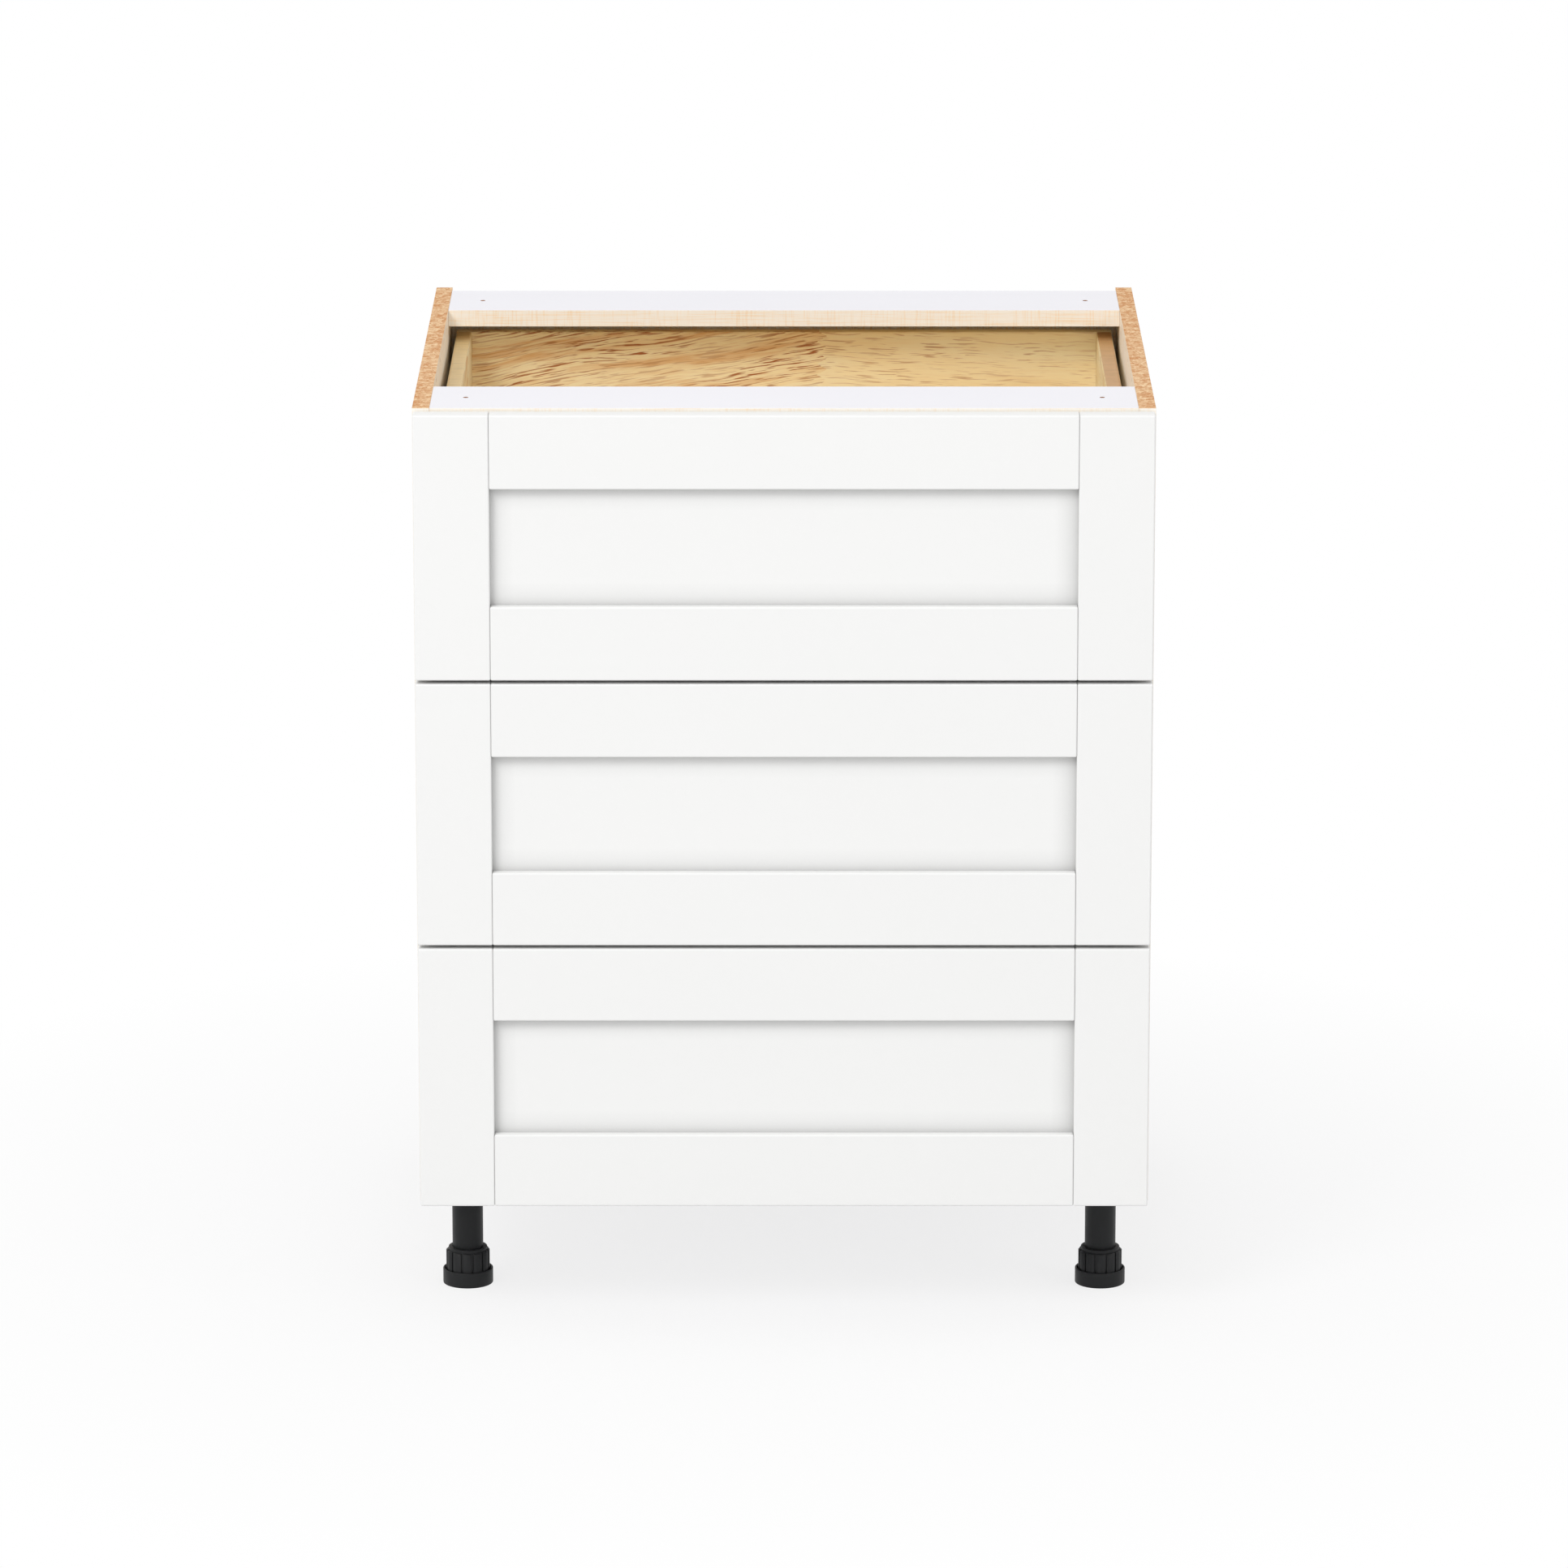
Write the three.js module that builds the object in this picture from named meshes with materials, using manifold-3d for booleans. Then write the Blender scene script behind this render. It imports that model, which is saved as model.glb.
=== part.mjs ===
// Frameless base cabinet with three equal drawers on undermount runners and four levelling legs.
// Millimetres, +Z up. The front faces -Y. The origin is on the floor, under the middle of the cabinet.
import * as THREE from "three";
import { mergeVertices } from "three/addons/utils/BufferGeometryUtils.js";
import Module from "manifold-3d";

const wasm = await Module();
wasm.setup();

// ---------------------------------------------------------------- driving dimensions

// Clearances
const GLUE_LINE = 0.1; // between pieces that are fixed to each other
const RUNNING_GAP = 0.3; // between pieces that move past each other
const OVERCUT = 1; // how far a cut runs past the faces it opens

// Carcass
const CABINET_WIDTH = 685.8; // 27 in, over the side panels
const CARCASS_HEIGHT = 762; // 30 in, without the legs
const CARCASS_DEPTH = 588.5;
const BOARD = 16;
const SCRIBE = 18; // how far the side panels run past the back panel
const STRETCHER_DEPTH = 100;
const WORKTOP_HOLE_RADIUS = 2.5;
const WORKTOP_HOLE_INSET = 32; // from the side panel's inner face
const CONNECTOR_HOLE_RADIUS = 2.5;
const CONNECTOR_HOLE_DEPTH = 12;
const CONNECTOR_HOLE_PITCH = 96;
const CONNECTOR_HOLE_COUNT = 3;
const CONNECTOR_HOLE_FIRST = 169; // from the carcass's front edge

// Drawer fronts
const DRAWER_NAMES = ["lower", "middle", "upper"];
const FRONT_THICKNESS = 19.1;
const FRONT_STANDOFF = 2; // the bumpers' thickness, between front and carcass
const FRONT_GAP = 3.2;
const TOP_REVEAL = 2.4;
const BOTTOM_REVEAL = 0.8;
const SIDE_REVEAL = 1.2;
const STILE_WIDTH = 69.9;
const RAIL_WIDTH = 69.9;
const FRONT_EDGE_RADIUS = 1.8;
const SEAM_WIDTH = 3.6;
const SEAM_DEPTH = 1.2;
const PANEL_RECESS = 9.5;
const PANEL_THICKNESS = 6.4;
const PANEL_TONGUE = 8; // how far the panel's edge reaches into the frame's groove
const PANEL_FLOAT = 0.8; // room left round the panel for it to swell

// Drawer boxes
const BOX_REAR_CLEARANCE = 23.1; // behind the box, which leaves it 21 in long
const BOX_LIFT = 38.7; // from the front's lower edge up to the box's
const BOX_BOARD = 15;
const BOX_DROP = 28.1; // from the front's top edge down to the box's
const BOX_SIDE_CLEARANCE = 6; // to the side panel
const BOX_EDGE_RADIUS = 2;
const BOX_BOTTOM_THICKNESS = 9;
const BOX_BOTTOM_RECESS = 13; // from the sides' lower edge up to the bottom's underside
const BOX_GROOVE_DEPTH = 6;
const DOVETAIL_COUNT = 5;
const PIN_HALF_WIDTH = 4; // at the pin's narrow end
const PIN_SLOPE = 1 / 7;

// Runners: three nested steel profiles, drawn as if seen from the front on the left side of the cabinet
const STEEL = 1.5;
const BEND_RADIUS = 1.6;
const BALL_GAP = 3; // between two nested profiles
const BALL_TRACK_BITE = 0.6; // how deep a ball track sits in its profile
const BALL_TRACK_SHARE = 0.46; // of the runner's length
const RUNNER_DEPTH = 28; // from the drawer bottom down to the runner's base
const RUNNER_FRONT_GAP = 2; // behind the box's front board
const DRAWER_RAIL_OFFSET = 1; // from the box side's inner face
const DRAWER_RAIL_WIDTH = 24;
const DRAWER_RAIL_HEIGHT = 11.5;
const MIDDLE_RAIL_HEIGHT = 15.5;
const RIDGE_END_LIFT = 4; // the ridge's free edge above the runner's base
const FLANGE_RISE = 4; // above the drawer bottom's underside
const RUNNER_SCREW_RADIUS = 2.4;
const RUNNER_SCREW_COUNT = 3;
const RUNNER_SCREW_MARGIN = 37; // from each end of the runner
const DAMPER_LENGTH = 160;
const DAMPER_WIDTH = 13;
const DAMPER_HEIGHT = 6.5;
const NOTCH_CLEARANCE = 5; // round the runner, where it passes under the box's back
const HOOK_WIDTH = 8;
const HOOK_RISE = 14;
const HOOK_PIN_RADIUS = 2.8;
const HOOK_PIN_LENGTH = 8;
const HOOK_PIN_HEIGHT = 11; // above the drawer bottom's underside
const CLIP_WIDTH = 26;
const CLIP_LENGTH = 46;
const CLIP_HEIGHT = 10;
const CLIP_CORNER_RADIUS = 5;
const LEVER_WIDTH = 9;
const LEVER_LENGTH = 30;
const LEVER_THICKNESS = 3;

// Legs
const LEG_HEIGHT = 114.3; // 4 1/2 in
const LEG_INSET_SIDE = 40.4; // leg axis from the cabinet's side
const LEG_INSET_FRONT = 110.5; // from the carcass's front edge
const LEG_INSET_REAR = 80;
const TUBE_RADIUS = 14.7;
const TUBE_WALL = 2.5;
const TUBE_END = 12; // the tube's open end above the floor
const FLANGE_RADIUS = 36;
const FLANGE_THICKNESS = 4;
const SOCKET_RADIUS = 20;
const SOCKET_HEIGHT = 24;
const SOCKET_TAPER = 3;
const GUSSET_COUNT = 4;
const GUSSET_THICKNESS = 3;
const FLANGE_SCREW_RADIUS = 2.3;
const FLANGE_SCREW_CIRCLE = 28.5;
const ADJUSTER_RADIUS = 20.8;
const ADJUSTER_TOP = 36;
const ADJUSTER_GRIP_TOP = 33;
const ADJUSTER_COLLAR_RADIUS = 18.4;
const ADJUSTER_GRIPS = 12;
const GRIP_GROOVE_RADIUS = 1.1;
const FOOT_RADIUS = 23.9;
const FOOT_WALL = 2;
const FOOT_HEIGHT = 14.8;
const FOOT_FLOOR = 3;
const FOOT_EDGE_RADIUS = 1.5;
const SPIGOT_CLEARANCE = 0.7;
const SPIGOT_HEIGHT = 5;

// How finely round shapes are drawn
const EDGE_STEPS = 2;
const HOLE_SIDES = 12;
const LEG_SIDES = 24;
const BEND_STEPS = 2;
const TRACK_SIDES = 6;
const GROOVE_SIDES = 6;

// ---------------------------------------------------------------- derived sizes

const halfWidth = CABINET_WIDTH / 2;
const innerHalf = halfWidth - BOARD;
const totalDepth = FRONT_THICKNESS + FRONT_STANDOFF + CARCASS_DEPTH;
const frontFaceY = -totalDepth / 2;
const frontBackY = frontFaceY + FRONT_THICKNESS;
const carcassFrontY = frontBackY + FRONT_STANDOFF;
const carcassRearY = carcassFrontY + CARCASS_DEPTH;
const carcassTopZ = LEG_HEIGHT + CARCASS_HEIGHT;
const backPanelRearY = carcassRearY - SCRIBE;

const drawerCount = DRAWER_NAMES.length;
const frontStackHeight = CARCASS_HEIGHT - TOP_REVEAL - BOTTOM_REVEAL;
const frontHeight = (frontStackHeight - (drawerCount - 1) * FRONT_GAP) / drawerCount;
const frontHalf = halfWidth - SIDE_REVEAL;

// Heights inside a drawer count from the lower edge of its front.
const boxTop = frontHeight - BOX_DROP;
const boxLow = BOX_LIFT;
const boxHeight = boxTop - boxLow;
const bottomUnderside = boxLow + BOX_BOTTOM_RECESS;
const boxHalf = innerHalf - BOX_SIDE_CLEARANCE;
const boxLength = FRONT_STANDOFF + CARCASS_DEPTH - SCRIBE - BOARD - BOX_REAR_CLEARANCE;
const boxInnerHalf = boxHalf - BOX_BOARD;
const dovetailPitch = boxHeight / DOVETAIL_COUNT;

// Distances across a runner count from the side panel's inner face towards the middle.
const drawerRailNear = BOX_SIDE_CLEARANCE + BOX_BOARD + DRAWER_RAIL_OFFSET;
const drawerRailFar = drawerRailNear + DRAWER_RAIL_WIDTH;
const middleRailNear = drawerRailNear + STEEL + BALL_GAP;
const middleRailFar = drawerRailFar - STEEL - BALL_GAP;
const ridgeNear = middleRailNear + STEEL + BALL_GAP;
const ridgeFar = middleRailFar - STEEL - BALL_GAP;
const runnerFrontY = BOX_BOARD + RUNNER_FRONT_GAP;
const runnerRearY = boxLength + GLUE_LINE + STEEL;
const runnerLength = runnerRearY - runnerFrontY;

// ---------------------------------------------------------------- materials

function material(color, roughness, metalness = 0) {
  return new THREE.MeshStandardMaterial({ color, roughness, metalness });
}

const whitePaint = material(0xf7f7f5, 0.42);
const whiteLaminate = material(0xf2f1f4, 0.5);
const mapleLaminate = material(0xf0dcc2, 0.5);
const rubberwood = material(0xd2a568, 0.45);
const birchPly = material(0xdcb983, 0.5);
const zincSteel = material(0xb9bcbf, 0.35, 1);
const blackPlastic = material(0x2e2f31, 0.55);

// ---------------------------------------------------------------- helpers

function toSolid(geometry) {
  const bare = geometry.index ? geometry.toNonIndexed() : geometry.clone();
  bare.deleteAttribute("normal");
  bare.deleteAttribute("uv");
  const merged = mergeVertices(bare);
  return new wasm.Manifold(
    new wasm.Mesh({
      numProp: 3,
      vertProperties: merged.attributes.position.array,
      triVerts: new Uint32Array(merged.index.array),
    }),
  );
}

function toGeometry(solid) {
  const { vertProperties, triVerts } = solid.getMesh();
  const geometry = new THREE.BufferGeometry();
  geometry.setAttribute("position", new THREE.BufferAttribute(vertProperties, 3));
  geometry.setIndex(new THREE.BufferAttribute(triVerts, 1));
  geometry.computeVertexNormals();
  return geometry;
}

function join(...geometries) {
  return toGeometry(geometries.map(toSolid).reduce((whole, piece) => whole.add(piece)));
}

function cut(geometry, ...tools) {
  return toGeometry(tools.map(toSolid).reduce((rest, tool) => rest.subtract(tool), toSolid(geometry)));
}

function box(x0, x1, y0, y1, z0, z1) {
  const geometry = new THREE.BoxGeometry(x1 - x0, y1 - y0, z1 - z0);
  return geometry.translate((x0 + x1) / 2, (y0 + y1) / 2, (z0 + z1) / 2);
}

const alongX = new THREE.Matrix4().makeBasis(
  new THREE.Vector3(0, 1, 0),
  new THREE.Vector3(0, 0, 1),
  new THREE.Vector3(1, 0, 0),
);
const alongY = new THREE.Matrix4().makeBasis(
  new THREE.Vector3(1, 0, 0),
  new THREE.Vector3(0, 0, 1),
  new THREE.Vector3(0, -1, 0),
);

function extrude(shape, length) {
  return new THREE.ExtrudeGeometry(shape, { depth: length, bevelEnabled: false, steps: 1 });
}

// A shape drawn in Y and Z, run from x0 to x1.
function extrudeX(shape, x0, x1) {
  return extrude(shape, x1 - x0).applyMatrix4(alongX).translate(x0, 0, 0);
}

// A shape drawn in X and Z, run from y0 to y1.
function extrudeY(shape, y0, y1) {
  return extrude(shape, y1 - y0).applyMatrix4(alongY).translate(0, y1, 0);
}

// A shape drawn in X and Y, run from z0 to z1.
function extrudeZ(shape, z0, z1) {
  return extrude(shape, z1 - z0).translate(0, 0, z0);
}

function polygon(points) {
  return new THREE.Shape(points.map(([u, v]) => new THREE.Vector2(u, v)));
}

function arcPoints(centreU, centreV, radius, from, to, steps) {
  return Array.from({ length: steps + 1 }, (_, i) => {
    const angle = from + ((to - from) * i) / steps;
    return [centreU + radius * Math.cos(angle), centreV + radius * Math.sin(angle)];
  });
}

function cylinderX(y, z, radius, x0, x1, sides = HOLE_SIDES) {
  const geometry = new THREE.CylinderGeometry(radius, radius, x1 - x0, sides);
  return geometry.rotateZ(-Math.PI / 2).translate((x0 + x1) / 2, y, z);
}

function cylinderY(x, z, radius, y0, y1, sides = HOLE_SIDES) {
  const geometry = new THREE.CylinderGeometry(radius, radius, y1 - y0, sides);
  return geometry.translate(x, (y0 + y1) / 2, z);
}

function cylinderZ(x, y, radius, z0, z1, sides = HOLE_SIDES) {
  const geometry = new THREE.CylinderGeometry(radius, radius, z1 - z0, sides);
  return geometry.rotateX(Math.PI / 2).translate(x, y, (z0 + z1) / 2);
}

// A profile of [radius, height] points turned about the Z axis.
function turned(points, sides = LEG_SIDES) {
  const profile = points.map(([radius, height]) => new THREE.Vector2(radius, height));
  return new THREE.LatheGeometry(profile, sides).rotateX(Math.PI / 2);
}

function mesh(name, geometry, finish) {
  const piece = new THREE.Mesh(geometry, finish);
  piece.name = name;
  return piece;
}

function inOrder(a, b) {
  return [Math.min(a, b), Math.max(a, b)];
}

const SIDES = [
  ["left", -1],
  ["right", 1],
];

// ---------------------------------------------------------------- carcass

function sidePanel(name, side) {
  const [x0, x1] = inOrder(side * innerHalf, side * halfWidth);
  const board = box(x0, x1, carcassFrontY, carcassRearY, LEG_HEIGHT, carcassTopZ);
  const [mouthX, endX] = inOrder(
    side * (innerHalf - OVERCUT),
    side * (innerHalf + CONNECTOR_HOLE_DEPTH),
  );
  const holes = Array.from({ length: CONNECTOR_HOLE_COUNT }, (_, i) =>
    cylinderX(
      carcassFrontY + CONNECTOR_HOLE_FIRST + i * CONNECTOR_HOLE_PITCH,
      carcassTopZ - BOARD / 2,
      CONNECTOR_HOLE_RADIUS,
      mouthX,
      endX,
    ),
  );
  return mesh(name, cut(board, ...holes), whiteLaminate);
}

function stretcher(name, frontY) {
  const reach = innerHalf - GLUE_LINE;
  const rearY = frontY + STRETCHER_DEPTH;
  const lowZ = carcassTopZ - BOARD;
  const board = box(-reach, reach, frontY, rearY, lowZ, carcassTopZ);
  const holes = SIDES.map(([, side]) =>
    cylinderZ(
      side * (innerHalf - WORKTOP_HOLE_INSET),
      (frontY + rearY) / 2,
      WORKTOP_HOLE_RADIUS,
      lowZ - OVERCUT,
      carcassTopZ + OVERCUT,
    ),
  );
  return mesh(name, cut(board, ...holes), whiteLaminate);
}

function carcass() {
  const group = new THREE.Group();
  const reach = innerHalf - GLUE_LINE;
  const backFrontY = backPanelRearY - BOARD;
  const bottomTopZ = LEG_HEIGHT + BOARD;
  group.add(
    ...SIDES.map(([label, side]) => sidePanel(`side_panel_${label}`, side)),
    mesh(
      "bottom_panel",
      box(-reach, reach, carcassFrontY, backPanelRearY, LEG_HEIGHT, bottomTopZ),
      mapleLaminate,
    ),
    mesh(
      "back_panel",
      box(
        -reach,
        reach,
        backFrontY,
        backPanelRearY,
        bottomTopZ + GLUE_LINE,
        carcassTopZ - BOARD - GLUE_LINE,
      ),
      mapleLaminate,
    ),
    stretcher("front_stretcher", carcassFrontY),
    stretcher("rear_stretcher", backPanelRearY - STRETCHER_DEPTH),
  );
  return group;
}

// ---------------------------------------------------------------- legs

// The tube with its socket, gussets and screw flange, under the bottom panel.
function legTube(name) {
  const top = LEG_HEIGHT - GLUE_LINE;
  const flangeLow = top - FLANGE_THICKNESS;
  const socketLow = flangeLow - SOCKET_HEIGHT;
  const body = turned([
    [0, flangeLow],
    [TUBE_RADIUS - TUBE_WALL, flangeLow],
    [TUBE_RADIUS - TUBE_WALL, TUBE_END],
    [TUBE_RADIUS, TUBE_END],
    [TUBE_RADIUS, socketLow],
    [SOCKET_RADIUS - SOCKET_TAPER, socketLow],
    [SOCKET_RADIUS, flangeLow],
    [FLANGE_RADIUS, flangeLow],
    [FLANGE_RADIUS, top],
    [0, top],
  ]);
  const gussetShape = polygon([
    [TUBE_RADIUS - TUBE_WALL / 2, socketLow + SOCKET_TAPER],
    [SOCKET_RADIUS, socketLow + SOCKET_TAPER],
    [FLANGE_RADIUS - SOCKET_TAPER, flangeLow],
    [FLANGE_RADIUS - SOCKET_TAPER, flangeLow + FLANGE_THICKNESS / 2],
    [TUBE_RADIUS - TUBE_WALL / 2, flangeLow + FLANGE_THICKNESS / 2],
  ]);
  const gussets = Array.from({ length: GUSSET_COUNT }, (_, i) =>
    extrudeY(gussetShape, -GUSSET_THICKNESS / 2, GUSSET_THICKNESS / 2).rotateZ(
      (i * 2 * Math.PI) / GUSSET_COUNT,
    ),
  );
  const screwHoles = Array.from({ length: GUSSET_COUNT }, (_, i) => {
    const angle = ((i + 0.5) * 2 * Math.PI) / GUSSET_COUNT;
    return cylinderZ(
      FLANGE_SCREW_CIRCLE * Math.cos(angle),
      FLANGE_SCREW_CIRCLE * Math.sin(angle),
      FLANGE_SCREW_RADIUS,
      flangeLow - OVERCUT,
      top + OVERCUT,
    );
  });
  return mesh(name, cut(join(body, ...gussets), ...screwHoles), blackPlastic);
}

// The grooved nut that turns on the tube and lifts or lowers the foot.
function adjuster(name) {
  const low = FOOT_FLOOR + RUNNING_GAP;
  const bore = TUBE_RADIUS + RUNNING_GAP;
  const body = turned([
    [bore, low],
    [ADJUSTER_RADIUS, low],
    [ADJUSTER_RADIUS, ADJUSTER_GRIP_TOP - 1],
    [ADJUSTER_RADIUS - 1, ADJUSTER_GRIP_TOP],
    [ADJUSTER_COLLAR_RADIUS, ADJUSTER_GRIP_TOP],
    [ADJUSTER_COLLAR_RADIUS, ADJUSTER_TOP],
    [bore, ADJUSTER_TOP],
    [bore, low],
  ]);
  const grooves = Array.from({ length: ADJUSTER_GRIPS }, (_, i) => {
    const angle = (i * 2 * Math.PI) / ADJUSTER_GRIPS;
    return cylinderZ(
      ADJUSTER_RADIUS * Math.cos(angle),
      ADJUSTER_RADIUS * Math.sin(angle),
      GRIP_GROOVE_RADIUS,
      low - OVERCUT,
      ADJUSTER_GRIP_TOP + OVERCUT,
      GROOVE_SIDES,
    );
  });
  return mesh(name, cut(body, ...grooves), blackPlastic);
}

// The rimmed cup that stands on the floor and carries the adjuster.
function foot(name) {
  const inside = FOOT_RADIUS - FOOT_WALL;
  const spigot = TUBE_RADIUS - TUBE_WALL - SPIGOT_CLEARANCE;
  const edge = arcPoints(
    FOOT_RADIUS - FOOT_EDGE_RADIUS,
    FOOT_EDGE_RADIUS,
    FOOT_EDGE_RADIUS,
    -Math.PI / 2,
    0,
    EDGE_STEPS,
  );
  const body = turned([
    [0, 0],
    ...edge,
    [FOOT_RADIUS, FOOT_HEIGHT],
    [inside, FOOT_HEIGHT],
    [inside, FOOT_FLOOR],
    [spigot, FOOT_FLOOR],
    [spigot, FOOT_FLOOR + SPIGOT_HEIGHT],
    [0, FOOT_FLOOR + SPIGOT_HEIGHT],
  ]);
  return mesh(name, body, blackPlastic);
}

function legs() {
  const group = new THREE.Group();
  const rows = [
    ["front", carcassFrontY + LEG_INSET_FRONT],
    ["rear", carcassRearY - LEG_INSET_REAR],
  ];
  for (const [row, y] of rows) {
    for (const [label, side] of SIDES) {
      const leg = new THREE.Group();
      leg.position.set(side * (halfWidth - LEG_INSET_SIDE), y, 0);
      leg.add(
        legTube(`leg_tube_${row}_${label}`),
        adjuster(`leg_adjuster_${row}_${label}`),
        foot(`leg_foot_${row}_${label}`),
      );
      group.add(leg);
    }
  }
  return group;
}

// ---------------------------------------------------------------- drawer front

// Stiles and rails as one glued frame, with eased edges, the panel's groove and the open joint lines.
function frontFrame(name) {
  const windowHalf = frontHalf - STILE_WIDTH;
  const windowLow = RAIL_WIDTH;
  const windowHigh = frontHeight - RAIL_WIDTH;
  const outline = polygon([
    [-frontHalf, 0],
    [frontHalf, 0],
    [frontHalf, frontHeight],
    [-frontHalf, frontHeight],
  ]);
  outline.holes.push(
    polygon([
      [-windowHalf, windowLow],
      [-windowHalf, windowHigh],
      [windowHalf, windowHigh],
      [windowHalf, windowLow],
    ]),
  );
  const ring = new THREE.ExtrudeGeometry(outline, {
    depth: FRONT_THICKNESS - 2 * FRONT_EDGE_RADIUS,
    bevelEnabled: true,
    bevelThickness: FRONT_EDGE_RADIUS,
    bevelSize: FRONT_EDGE_RADIUS,
    bevelOffset: -FRONT_EDGE_RADIUS,
    bevelSegments: EDGE_STEPS,
  });
  ring.applyMatrix4(alongY).translate(0, -FRONT_EDGE_RADIUS, 0);

  const grooveReach = PANEL_TONGUE + PANEL_FLOAT;
  const grooveFrontY = -FRONT_THICKNESS + PANEL_RECESS - GLUE_LINE;
  const grooveRearY = grooveFrontY + PANEL_THICKNESS + 2 * GLUE_LINE;
  const groove = box(
    -windowHalf - grooveReach,
    windowHalf + grooveReach,
    grooveFrontY,
    grooveRearY,
    windowLow - grooveReach,
    windowHigh + grooveReach,
  );
  const seams = SIDES.map(([, side]) =>
    extrudeZ(
      polygon([
        [side * windowHalf - SEAM_WIDTH / 2, -FRONT_THICKNESS - SEAM_DEPTH],
        [side * windowHalf + SEAM_WIDTH / 2, -FRONT_THICKNESS - SEAM_DEPTH],
        [side * windowHalf + SEAM_WIDTH / 2, -FRONT_THICKNESS],
        [side * windowHalf, -FRONT_THICKNESS + SEAM_DEPTH],
        [side * windowHalf - SEAM_WIDTH / 2, -FRONT_THICKNESS],
      ]),
      -OVERCUT,
      frontHeight + OVERCUT,
    ),
  );
  return mesh(name, cut(ring, groove, ...seams), whitePaint);
}

function frontPanel(name) {
  const half = frontHalf - STILE_WIDTH + PANEL_TONGUE;
  const faceY = -FRONT_THICKNESS + PANEL_RECESS;
  return mesh(
    name,
    box(
      -half,
      half,
      faceY,
      faceY + PANEL_THICKNESS,
      RAIL_WIDTH - PANEL_TONGUE,
      frontHeight - RAIL_WIDTH + PANEL_TONGUE,
    ),
    whitePaint,
  );
}

// ---------------------------------------------------------------- drawer box

// The faces of the box's two end boards, and the first pin of each: over the runners the back has none.
const FRONT_END = { outerY: 0, innerY: BOX_BOARD, firstPin: 0 };
const BACK_END = { outerY: boxLength, innerY: boxLength - BOX_BOARD, firstPin: 1 };

// A board's section, with its top edges rounded over. `outer` and `inner` are the board's two faces.
function boardSection(outer, inner) {
  const low = Math.min(outer, inner);
  const high = Math.max(outer, inner);
  const r = BOX_EDGE_RADIUS;
  return polygon([
    [low, boxLow],
    [high, boxLow],
    ...arcPoints(high - r, boxTop - r, r, 0, Math.PI / 2, EDGE_STEPS),
    ...arcPoints(low + r, boxTop - r, r, Math.PI / 2, Math.PI, EDGE_STEPS),
  ]);
}

// The bottom with room round it, which leaves the groove in all four boards.
function bottomGroove() {
  const half = boxInnerHalf + BOX_GROOVE_DEPTH;
  const edge = BOX_BOARD - BOX_GROOVE_DEPTH;
  return box(
    -half,
    half,
    edge,
    boxLength - edge,
    bottomUnderside - GLUE_LINE,
    bottomUnderside + BOX_BOTTOM_THICKNESS + GLUE_LINE,
  );
}

// Half a dovetail pin's width, at a depth behind the end board's outer face.
function pinHalf(depth) {
  return PIN_HALF_WIDTH + depth * PIN_SLOPE;
}

// A cut through the box's corner, seen from its side, between two depths behind the end's outer face.
function cornerOutline({ outerY, innerY }, [near, far], low, high) {
  const inward = Math.sign(innerY - outerY);
  return polygon([
    [outerY + inward * near, low(near)],
    [outerY + inward * far, low(far)],
    [outerY + inward * far, high(far)],
    [outerY + inward * near, high(near)],
  ]);
}

const pinMiddle = (i) => boxLow + i * dovetailPitch;
const underBox = () => boxLow - OVERCUT;
const overBox = () => boxTop + OVERCUT;

// What the pins take out of the sides. The first and the last are half pins.
function pinSockets(end) {
  const depths = [-OVERCUT, BOX_BOARD + GLUE_LINE];
  return Array.from({ length: DOVETAIL_COUNT + 1 }, (_, i) => {
    const low = (depth) => pinMiddle(i) - pinHalf(depth) - GLUE_LINE;
    const high = (depth) => pinMiddle(i) + pinHalf(depth) + GLUE_LINE;
    return cornerOutline(end, depths, i === 0 ? underBox : low, i === DOVETAIL_COUNT ? overBox : high);
  }).slice(end.firstPin);
}

// What the tails take out of an end board.
function tailSockets(end) {
  const depths = [-OVERCUT, BOX_BOARD + OVERCUT];
  return Array.from({ length: DOVETAIL_COUNT }, (_, i) => {
    const low = (depth) => pinMiddle(i) + pinHalf(depth);
    const high = (depth) => pinMiddle(i + 1) - pinHalf(depth);
    return cornerOutline(end, depths, i < end.firstPin ? underBox : low, high);
  });
}

function boxSide(name, side) {
  const board = extrudeY(boardSection(side * boxHalf, side * boxInnerHalf), 0, boxLength);
  const [x0, x1] = inOrder(side * (boxHalf + OVERCUT), side * (boxInnerHalf - OVERCUT));
  const sockets = [FRONT_END, BACK_END].flatMap(pinSockets).map((outline) => extrudeX(outline, x0, x1));
  return mesh(name, cut(board, bottomGroove(), ...sockets), rubberwood);
}

// The box's front or back board, with its pins.
function boxEnd(end) {
  const board = extrudeX(boardSection(end.outerY, end.innerY), -boxHalf, boxHalf);
  const sockets = SIDES.flatMap(([, side]) => {
    const [x0, x1] = inOrder(side * (boxInnerHalf - GLUE_LINE), side * (boxHalf + OVERCUT));
    return tailSockets(end).map((outline) => extrudeX(outline, x0, x1));
  });
  return cut(board, bottomGroove(), ...sockets);
}

function boxFront(name) {
  return mesh(name, boxEnd(FRONT_END), rubberwood);
}

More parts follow.
